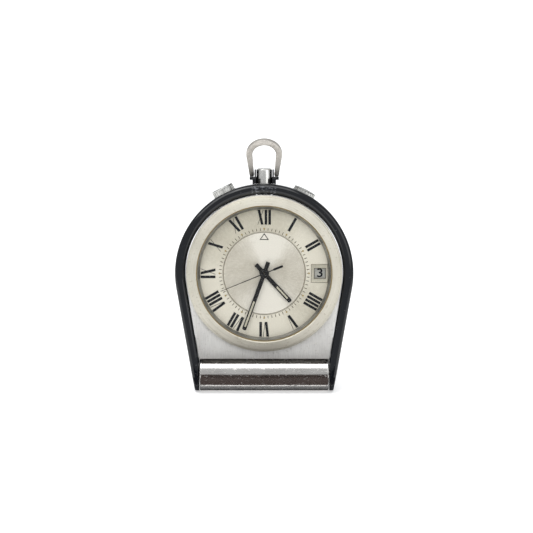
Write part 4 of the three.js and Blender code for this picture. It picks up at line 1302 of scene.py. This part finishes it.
@dataclass
class Crown:
    """A crown on its own axis, fluted round its side.

    Args:
        shop: the workshop.
        seat: the crown's frame.
        domed: whether its cap is a low dome.
    """

    shop: Workshop
    seat: Seat
    domed: bool
    radius: float = 3.0
    bottom: float = 22.6
    top: float = 25.1
    flutes: int = 22

    def make(self) -> None:
        """Turn the crown, set its flutes, and dress its stem and tube."""
        name = self.seat.value
        top = self.top - (0.5 if self.domed else 0)
        shoulder, core = top - 0.45, self.radius - 0.2
        if self.domed:
            turns = [0.15 * i for i in range(10)]
            cap = [(self.radius * math.cos(a), shoulder + 0.05 + 0.4 * math.sin(a)) for a in turns]
        else:
            cap = [(self.radius - 0.04, shoulder), (self.radius, top - 0.2)]
            cap += [(self.radius - 0.15, top - 0.03), (2.0, top)]
        recess = [(0, self.bottom + 0.8), (1.15, self.bottom + 0.8), (1.15, self.bottom)]
        profile = [*recess, (core, self.bottom), (core, shoulder - 0.1), *cap, (0, top)]
        body = turned("crown_body", profile, 132)
        size = (0.42, 0.42, shoulder - self.bottom + 0.02)
        ring = Ring(Repeat.PEG, self.flutes, core - 0.02, size, (shoulder + self.bottom) / 2)
        ribs = ring.make("crown_ribs", self.shop.finish("crown", self.seat))
        piece = moved(fused(f"fluted_{name}_crown", body, ribs), TO_Y)
        knob = f"{name}_knob"
        self.shop.fit(piece, self.seat, knob, "crown", "polished_steel", [f"{name}_crown"])
        self.shop.dress("rhodium", Seat.DIAL, f"{name}_stem", f"{name}_setting_lever")
        self.shop.dress("inner", Seat.DIAL, f"{name}_crown_tube")


# ---------------------------------------------------------------- dial, bezel and hands


@dataclass
class Numerals:
    """Roman numerals that stand on the dial with their feet to its centre."""

    foot: float = 12.8
    head: float = 16.7
    thick: float = 0.70
    thin: float = 0.13
    gap: float = 0.27
    letter: float = 1.6
    hours: tuple[str, ...] = ("XII", "I", "II", "", "IIII", "V", "VI", "VII", "VIII", "IX", "X", "XI")

    def _strokes(self, letter: str, left: float) -> list[list[Point]]:
        """Draw one letter.

        Args:
            letter: I, V or X.
            left: where it starts.

        Returns:
            Its strokes, upright, as four-cornered shapes.
        """
        right = left + self.letter
        middle = (left + right) / 2

        def stroke(foot: float, head: float, wide: float) -> list[Point]:
            """A stroke whose left edge runs from foot to head."""
            return [(foot, self.foot), (foot + wide, self.foot), (head + wide, self.head), (head, self.head)]

        if letter == "I":
            return [stroke(left, left, self.thick)]
        if letter == "V":
            thick = stroke(middle - self.thick / 2, left, self.thick)
            return [thick, stroke(middle + self.thick / 2 - self.thin, right - self.thin, self.thin)]
        return [stroke(right - self.thick, left, self.thick), stroke(left, right - self.thin, self.thin)]

    def shapes(self) -> list[list[Point]]:
        """Draw all numerals, turned to their places.

        Returns:
            The outlines of their strokes.
        """
        shapes = []
        for hour, text in enumerate(self.hours):
            widths = [self.thick if letter == "I" else self.letter for letter in text]
            left = -(sum(widths) + self.gap * (len(text) - 1)) / 2
            turn = -math.radians(30 * hour)
            for letter, wide in zip(text, widths):
                for shape in self._strokes(letter, left):
                    shapes.append([tuple((Matrix.Rotation(turn, 2) @ Vector(at))) for at in shape])
                left += wide + self.gap
        return shapes


@dataclass
class Face:
    """Bezel, crystal, dial and everything printed or set on the dial."""

    shop: Workshop
    front: float = 4.0
    dial: float = 18.2
    disc: float = 10.85
    window_at: float = 14.65
    window: Point = (3.2, 2.85)
    shown_date: int = 3
    days: int = 31
    print_thick: float = 0.02

    def make_glazing(self) -> None:
        """Make the bezel, the crystal, its gasket and the flange under it."""
        bezel = [(17.85, 4.1), (18.5, 4.1), (18.5, 4.4), (20.5, 4.4), (20.5, 5.12), (20.44, 5.22)]
        bezel += [(20.12, 5.3), (20.08, 5.42), (20.06, 5.5), (20.0, 5.56), (18.3, 5.97), (18.05, 6.0)]
        bezel += [(17.9, 5.93), (17.85, 5.8)]
        self._turn("brushed_bezel", bezel, "bezel", "warm_steel", "bezel", 25)
        turns = [TURN / 4 * i / 24 for i in range(25)]
        dome = [(17.6 * math.sin(a), 5.8 + 0.9 * math.cos(a) ** 2) for a in turns]
        inner = [(r * 16.9 / 17.6, z - 0.8) for r, z in reversed(dome)]
        crystal = [*dome, (17.6, 4.95), (16.9, 4.95), *inner]
        self._turn("domed_crystal", crystal, "crystal", "crystal", "crystal", 40)
        gasket = rectangle(17.63, 5.0, 17.83, 5.7)
        self._turn("gasket_ring", gasket, "gasket", "gasket", "crystal_gasket", 30)
        # The flange is darkened with painted shade under the bezel.
        flange = [(16.85, 4.05), (17.75, 4.05), (17.75, 4.9), (17.5, 4.9)]
        self._turn("painted_shade_flange_ring", flange, "rehaut", "brushed_steel", "rehaut_ring", 30)

    def _turn(
        self, name: str, profile: Sequence[Point], finish: str, slot: str, node: str, sharp: float
    ) -> None:
        """Turn a ring of the face and set it in place."""
        self.shop.fit(turned(name, profile, 240), Seat.DIAL, "head", finish, slot, [node], sharp)

    def make_dial(self) -> None:
        """Make the dial with its date window, its numerals and its minute track."""
        step = self.disc + 0.15
        profile = [(1.7, 3.55), (self.dial, 3.55), (self.dial, 3.9), (self.dial - 0.2, self.front)]
        profile += [(step, self.front), (step, 3.7), (1.7, 3.7)]
        dial = turned("sunburst_dial", profile, 240)
        (wide, high), at = self.window, self.window_at
        window = block("window", (at - wide / 2, -high / 2, 3), (at + wide / 2, high / 2, 5), 0.02)
        carved(dial, "DIFFERENCE", window)
        self.shop.fit(dial, Seat.DIAL, "head", "dial", "silvered_dial", ["dial"])
        low, top = self.front - 0.01, self.front + self.print_thick
        numerals = prisms("printed_numerals", Numerals().shapes(), low, top)
        self.shop.fit(numerals, Seat.DIAL, "head", "print", "blackened")
        thick = top - low
        rings = {
            "minute_track": (Ring(Repeat.BAR, 72, 11.55, (0.17, 0.7, thick), (low + top) / 2), "track"),
            "hour_dots": (Ring(Repeat.PEG, 12, 11.75, (0.5, 0.5, thick + 0.02), (low + top) / 2), "dots"),
        }
        for name, (ring, finish) in rings.items():
            made = ring.make(name, self.shop.finish(finish, Seat.DIAL))
            self.shop.fit(made, Seat.DIAL, "head", finish, "silvered_dial")

    def make_date(self) -> None:
        """Make the frame of the date window with its painted shade lines, and the date ring with its
        numerals.
        """
        (wide, high), at, side = self.window, self.window_at, 0.9
        outer = rectangle(at - wide / 2 - 0.65, -high / 2 - side, at + wide / 2 + 0.35, high / 2 + side)
        inner = rectangle(at - wide / 2, -high / 2, at + wide / 2, high / 2)
        border = plate("window_border", [outer, inner], 4.05, 4.25, 0.06)
        self.shop.fit(border, Seat.DIAL, "head", "frame", "brushed_steel", ["date_window_frame"])
        # Dark lines at the frame's outer edge and just inside the opening are painted shade: the shadow gap
        # round the frame and the shade on the opening's walls.
        lines = [*self._edging(outer, 0.09, 0.03), *self._edging(inner, -0.02, 0.14)]
        shade_lines = prisms("window_shade_lines", lines, 4.0, 4.04)
        self.shop.fit(shade_lines, Seat.DIAL, "head", "track", "silvered_dial")
        profile = [(12.4, 3.1), (16.9, 3.1), (16.9, 3.42), (16.85, 3.45), (12.4, 3.45)]
        ring = turned("silver_date_ring", profile, 240)
        self.shop.fit(ring, Seat.DIAL, "date", "date", "date_white", ["date_ring"])
        dates = []
        for day in range(1, self.days + 1):
            text = bpy.data.curves.new("day", "FONT")
            text.body, text.size, text.offset = str(day), 3.2, 0.06
            text.align_x, text.align_y, text.resolution_u, text.extrude = "CENTER", "CENTER", 3, 0.015
            text.space_character = 0.9
            turn = Matrix.Rotation((day - self.shown_date) * TURN / self.days, 4, "Z")
            wide = Matrix.Diagonal((1.15 if day < 10 else 0.95, 1, 1, 1))
            dates.append(moved(solidified("day", text), turn @ Matrix.Translation((at, 0, 3.46)) @ wide))
        self.shop.fit(fused("date_numerals", *dates), Seat.DIAL, "date", "print", "blackened")

    def _edging(self, corners: Sequence[Point], outside: float, inside: float) -> list[list[Point]]:
        """Draw a line round a rectangle.

        Args:
            corners: the rectangle's corners, from its lower left.
            outside: how far the line reaches out of it.
            inside: how far it reaches in.

        Returns:
            The line's four strokes.
        """
        (left, low), _, (right, high), _ = corners

        def box(grow: float) -> list[Point]:
            """The rectangle, grown."""
            return rectangle(left - grow, low - grow, right + grow, high + grow)

        out, into = box(outside), box(-inside)
        return [[out[i], out[(i + 1) % 4], into[(i + 1) % 4], into[i]] for i in range(4)]

    def make_disc(self) -> None:
        """Make the alarm disc with the triangle that points at the alarm hour."""
        edge = self.disc
        profile = [(0.92, 3.25), (1.3, 3.25), (1.3, 3.8), (edge, 3.8), (edge, 3.95)]
        profile += [(edge - 0.06, 4.0), (0.92, 4.0)]
        disc = turned("sunburst_disc", profile, 240)
        self.shop.fit(disc, Seat.DIAL, "alarm_indicator", "disc", "silvered_dial", ["alarm_disc"])
        base, apex, half, line = 8.8, 10.6, 1.22, 0.2
        outer = [(-half, base), (half, base), (0, apex)]
        inset = half - 1.75 * line
        inner = [(-inset, base + line), (inset, base + line), (0, apex - 2.0 * line)]
        sides = [[outer[i], outer[(i + 1) % 3], inner[(i + 1) % 3], inner[i]] for i in range(3)]
        pointer = prisms("alarm_pointer", sides, 3.99, 4.02)
        self.shop.fit(pointer, Seat.DIAL, "alarm_indicator", "print", "blackened")

    def make(self) -> None:
        """Make every piece of the face."""
        self.make_glazing()
        self.make_dial()
        self.make_date()
        self.make_disc()


@dataclass
class Hand:
    """A baton hand with a hub, a tail and a slot of luminous paste.

    Args:
        shop: the workshop.
        name: the hand's name.
        body: the body that it rides on.
        turns: the share of a turn, from twelve, that it shows.
        length: from the centre to its tip.
        slot: where its slot starts and ends.
        level: the height of its underside.
        bore: the radius of its hole.
        half: half its width.
        gap: half the slot's width.
        tail: how far it reaches behind the centre.
        hub: the radius of its hub.
        thick: how thick it is.
    """

    shop: Workshop
    name: str
    body: str
    turns: float
    length: float
    slot: Point
    level: float
    bore: float
    half: float = 0.55
    gap: float = 0.24
    tail: float = 3.2
    hub: float = 1.25
    thick: float = 0.2

    @property
    def facing(self) -> Matrix:
        """The turn from along X to where the hand points."""
        return Matrix.Rotation(TURN / 4 - TURN * self.turns, 4, "Z")

    def make(self) -> None:
        """Make the hand and its paste."""
        low, top = self.level, self.level + self.thick
        near, far = self.slot
        half, tip = self.half, self.length
        point = [(tip - 0.25, -half), (tip, -half * 0.5), (tip, half * 0.5), (tip - 0.25, half)]
        outline = [(-self.tail, -half), *point, (-self.tail, half)]
        gap = rectangle(near, -self.gap, far, self.gap)
        bar = plate("bar", [outline, gap], low, top, 0.05)
        edge = [(self.hub, low), (self.hub, top - 0.03), (self.hub - 0.06, top + 0.02)]
        hub = turned("hub", [(0, low), *edge, (0, top + 0.02)], 64)
        hole = rod("hole", self.bore, low - 1, top + 1, 48)
        carved(carved(bar, "UNION", hub), "DIFFERENCE", hole)
        bar.name = f"black_{self.name}"
        moved(bar, self.facing)
        self.shop.fit(bar, Seat.DIAL, self.body, "hands", "blackened", [self.name])
        paste = block(
            f"{self.name}_paste", (near, -self.gap, low + 0.03), (far, self.gap, top - 0.03), 0.03
        )
        self.shop.fit(moved(paste, self.facing), Seat.DIAL, self.body, "lume", "silvered_dial")


@dataclass
class Hands:
    """The three hands; the seconds hand's hub sits over their centre."""

    shop: Workshop
    hour: float = (4 + 34 / 60) / 12
    minute: float = 33.3 / 60
    second: float = 41.3 / 60

    def make(self) -> None:
        """Make the hands."""
        Hand(self.shop, "hour_hand", "hours", self.hour, 10.19, (4.8, 9.0), 4.35, 0.9).make()
        Hand(self.shop, "minute_hand", "minutes", self.minute, 15.8, (7.8, 14.9), 4.75, 0.55).make()
        low, top, tip, tail = 5.15, 5.35, 12.38, 5.3
        upper = [(tip, 0.06), (0, 0.15), (-2.4, 0.15), (-2.9, 0.3), (-tail + 0.1, 0.3), (-tail, 0.2)]
        needle = plate("needle", [[*upper, *((x, -y) for x, y in reversed(upper))]], low, top, 0.03)
        profile = [(0.25, low), (0.8, low), (0.85, low + 0.05), (0.85, top - 0.02)]
        hub = turned("hub", [*profile, (0.7, top + 0.06), (0.25, top + 0.1)], 64)
        piece = fused("black_seconds_hand", needle, hub)
        moved(piece, Matrix.Rotation(TURN / 4 - TURN * self.second, 4, "Z"))
        self.shop.fit(piece, Seat.DIAL, "seconds", "hands", "blackened", ["seconds_hand"])


@dataclass
class Movement:
    """The movement behind the dial, which keeps the frame's own shapes."""

    shop: Workshop
    plated: tuple[str, ...] = (
        "main_plate", "barrel_bridge", "train_bridge", "balance_cock", "escape_wheel", "pallet_fork",
        "alarm_hammer",
    )
    gilded: tuple[str, ...] = (
        "centre_wheel", "third_wheel", "fourth_wheel", "hour_wheel", "minute_wheel", "time_barrel",
        "alarm_barrel", "balance_wheel",
    )
    screws: int = 5

    def make(self) -> None:
        """Dress the movement."""
        screws = [f"bridge_screw_{i + 1}" for i in range(self.screws)]
        self.shop.dress("rhodium", Seat.DIAL, *self.plated, *screws)
        self.shop.dress("gilt", Seat.DIAL, *self.gilded)
        self.shop.dress("spring", Seat.DIAL, "hairspring")
        self.shop.dress("inner", Seat.DIAL, "casing_ring")


# ---------------------------------------------------------------- studio


@dataclass
class Studio:
    """Floor, light and camera."""

    shop: Workshop
    elevation: float = 18.5
    distance: float = 0.78
    picture_width: float = 0.1407
    aim: Point = (0.6, 1.55)

    def _sheet(
        self, name: str, size: Point, matrix: Matrix, colour: Colour, glow: float = 0.0
    ) -> bpy.types.Object:
        """Make a flat sheet of the studio.

        Args:
            name: its name.
            size: its two half sizes, in metres.
            matrix: its place.
            colour: its colour.
            glow: how brightly it glows.

        Returns:
            The sheet.
        """
        x, y = size
        corners = [(*at, 0) for at in rectangle(-x, -y, x, y)]
        sheet = mesh_object(name, corners, [range(4)])
        sheet.data.transform(matrix)
        material = bpy.data.materials.new(name)
        material.use_nodes = True
        surface = material.node_tree.nodes["Principled BSDF"].inputs
        surface["Base Color"].default_value = (*colour, 1)
        surface["Roughness"].default_value = 0.85
        surface["Emission Color"].default_value = (*colour, 1)
        surface["Emission Strength"].default_value = glow
        sheet.data.materials.append(material)
        return sheet

    def _lamp(self, name: str, at: Spot, size: float, power: float, target: Vector) -> None:
        """Hang a soft square lamp.

        Args:
            name: its name.
            at: its place, in metres.
            size: the length of its sides.
            power: its power, in watts.
            target: what it looks at.
        """
        data = bpy.data.lights.new(name, "AREA")
        data.size, data.energy = size, power
        lamp = linked(name, data)
        lamp.location = at
        lamp.rotation_euler = (target - Vector(at)).to_track_quat("-Z", "Y").to_euler()

    def _flags(self) -> None:
        """Set dark cards that only show in what shines."""
        upright = Matrix.Rotation(TURN / 4, 4, "X")
        sideways = Matrix.Rotation(TURN / 4, 4, "Y")
        near, far, tall = -0.0263, -0.045, 0.0098
        dark, grey = (0.06, 0.042, 0.038), (0.30, 0.30, 0.31)
        places = {
            "low_card": ((0.03, (near - far) / 2), Matrix.Translation((0, (near + far) / 2, 0.0008)), dark),
            "foot_card": ((0.03, 0.0017), Matrix.Translation((0, -0.0244, 0.0001)), grey),
            "front_card": ((0.03, tall / 2), Matrix.Translation((0, far, tall / 2)) @ upright, dark),
            "left_card": ((0.12, 0.07), Matrix.Translation((-0.16, 0.035, 0.12)) @ sideways, grey),
            "right_card": ((0.12, 0.07), Matrix.Translation((0.16, 0.035, 0.12)) @ sideways, grey),
        }
        for name, (size, matrix, colour) in places.items():
            card = self._sheet(name, size, matrix, colour)
            for kind in ("camera", "diffuse", "shadow", "transmission"):
                setattr(card, f"visible_{kind}", False)

    def make(self) -> None:
        """Lay the floor, hang the light and set the camera."""
        self._sheet("floor", (3, 3), Matrix.Identity(4), (0.95, 0.95, 0.95), 0.46)
        self._flags()
        world = bpy.data.worlds.new("studio")
        world.use_nodes = True
        backdrop = world.node_tree.nodes["Background"].inputs
        backdrop["Color"].default_value = (0.97, 0.985, 1.0, 1)
        backdrop["Strength"].default_value = 0.58
        scene = bpy.context.scene
        scene.world = world
        scene.view_settings.view_transform = "Standard"
        dial = self.shop.layout.place(Seat.DIAL)
        middle = dial.translation
        self._lamp("key", (-0.32, -0.18, 0.58), 0.42, 1.5, middle)
        self._lamp("front", (0, -0.2, 0.62), 0.42, 1.35, middle)
        self._lamp("fill", (0.4, -0.35, 0.3), 0.35, 0.5, middle)
        rise = math.radians(self.elevation)
        back = Vector((0, -math.cos(rise), math.sin(rise)))
        up = Vector((0, math.sin(rise), math.cos(rise)))
        target = middle + (Vector((1, 0, 0)) * self.aim[0] + up * self.aim[1]) * MM
        data = bpy.data.cameras.new("camera")
        data.sensor_width = 36
        data.lens = 36 * self.distance / self.picture_width
        data.clip_start, data.clip_end = 0.01, 20
        camera = linked("camera", data)
        camera.location = target + back * self.distance
        camera.rotation_euler = (-back).to_track_quat("-Z", "Y").to_euler()
        scene.camera = camera


def main() -> None:
    """Build the clock and its studio."""
    logging.basicConfig(level=logging.INFO, format="%(name)s: %(message)s")
    shop = Workshop(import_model())
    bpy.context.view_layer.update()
    case = Case(shop)
    assemblies = [
        case,
        Stand(shop, case),
        Pendant(shop, case),
        Crown(shop, Seat.ALARM, False),
        Crown(shop, Seat.WINDING, True),
        Face(shop),
        Hands(shop),
        Movement(shop),
        Studio(shop),
    ]
    for assembly in assemblies:
        assembly.make()


if __name__ == "__main__":
    main()
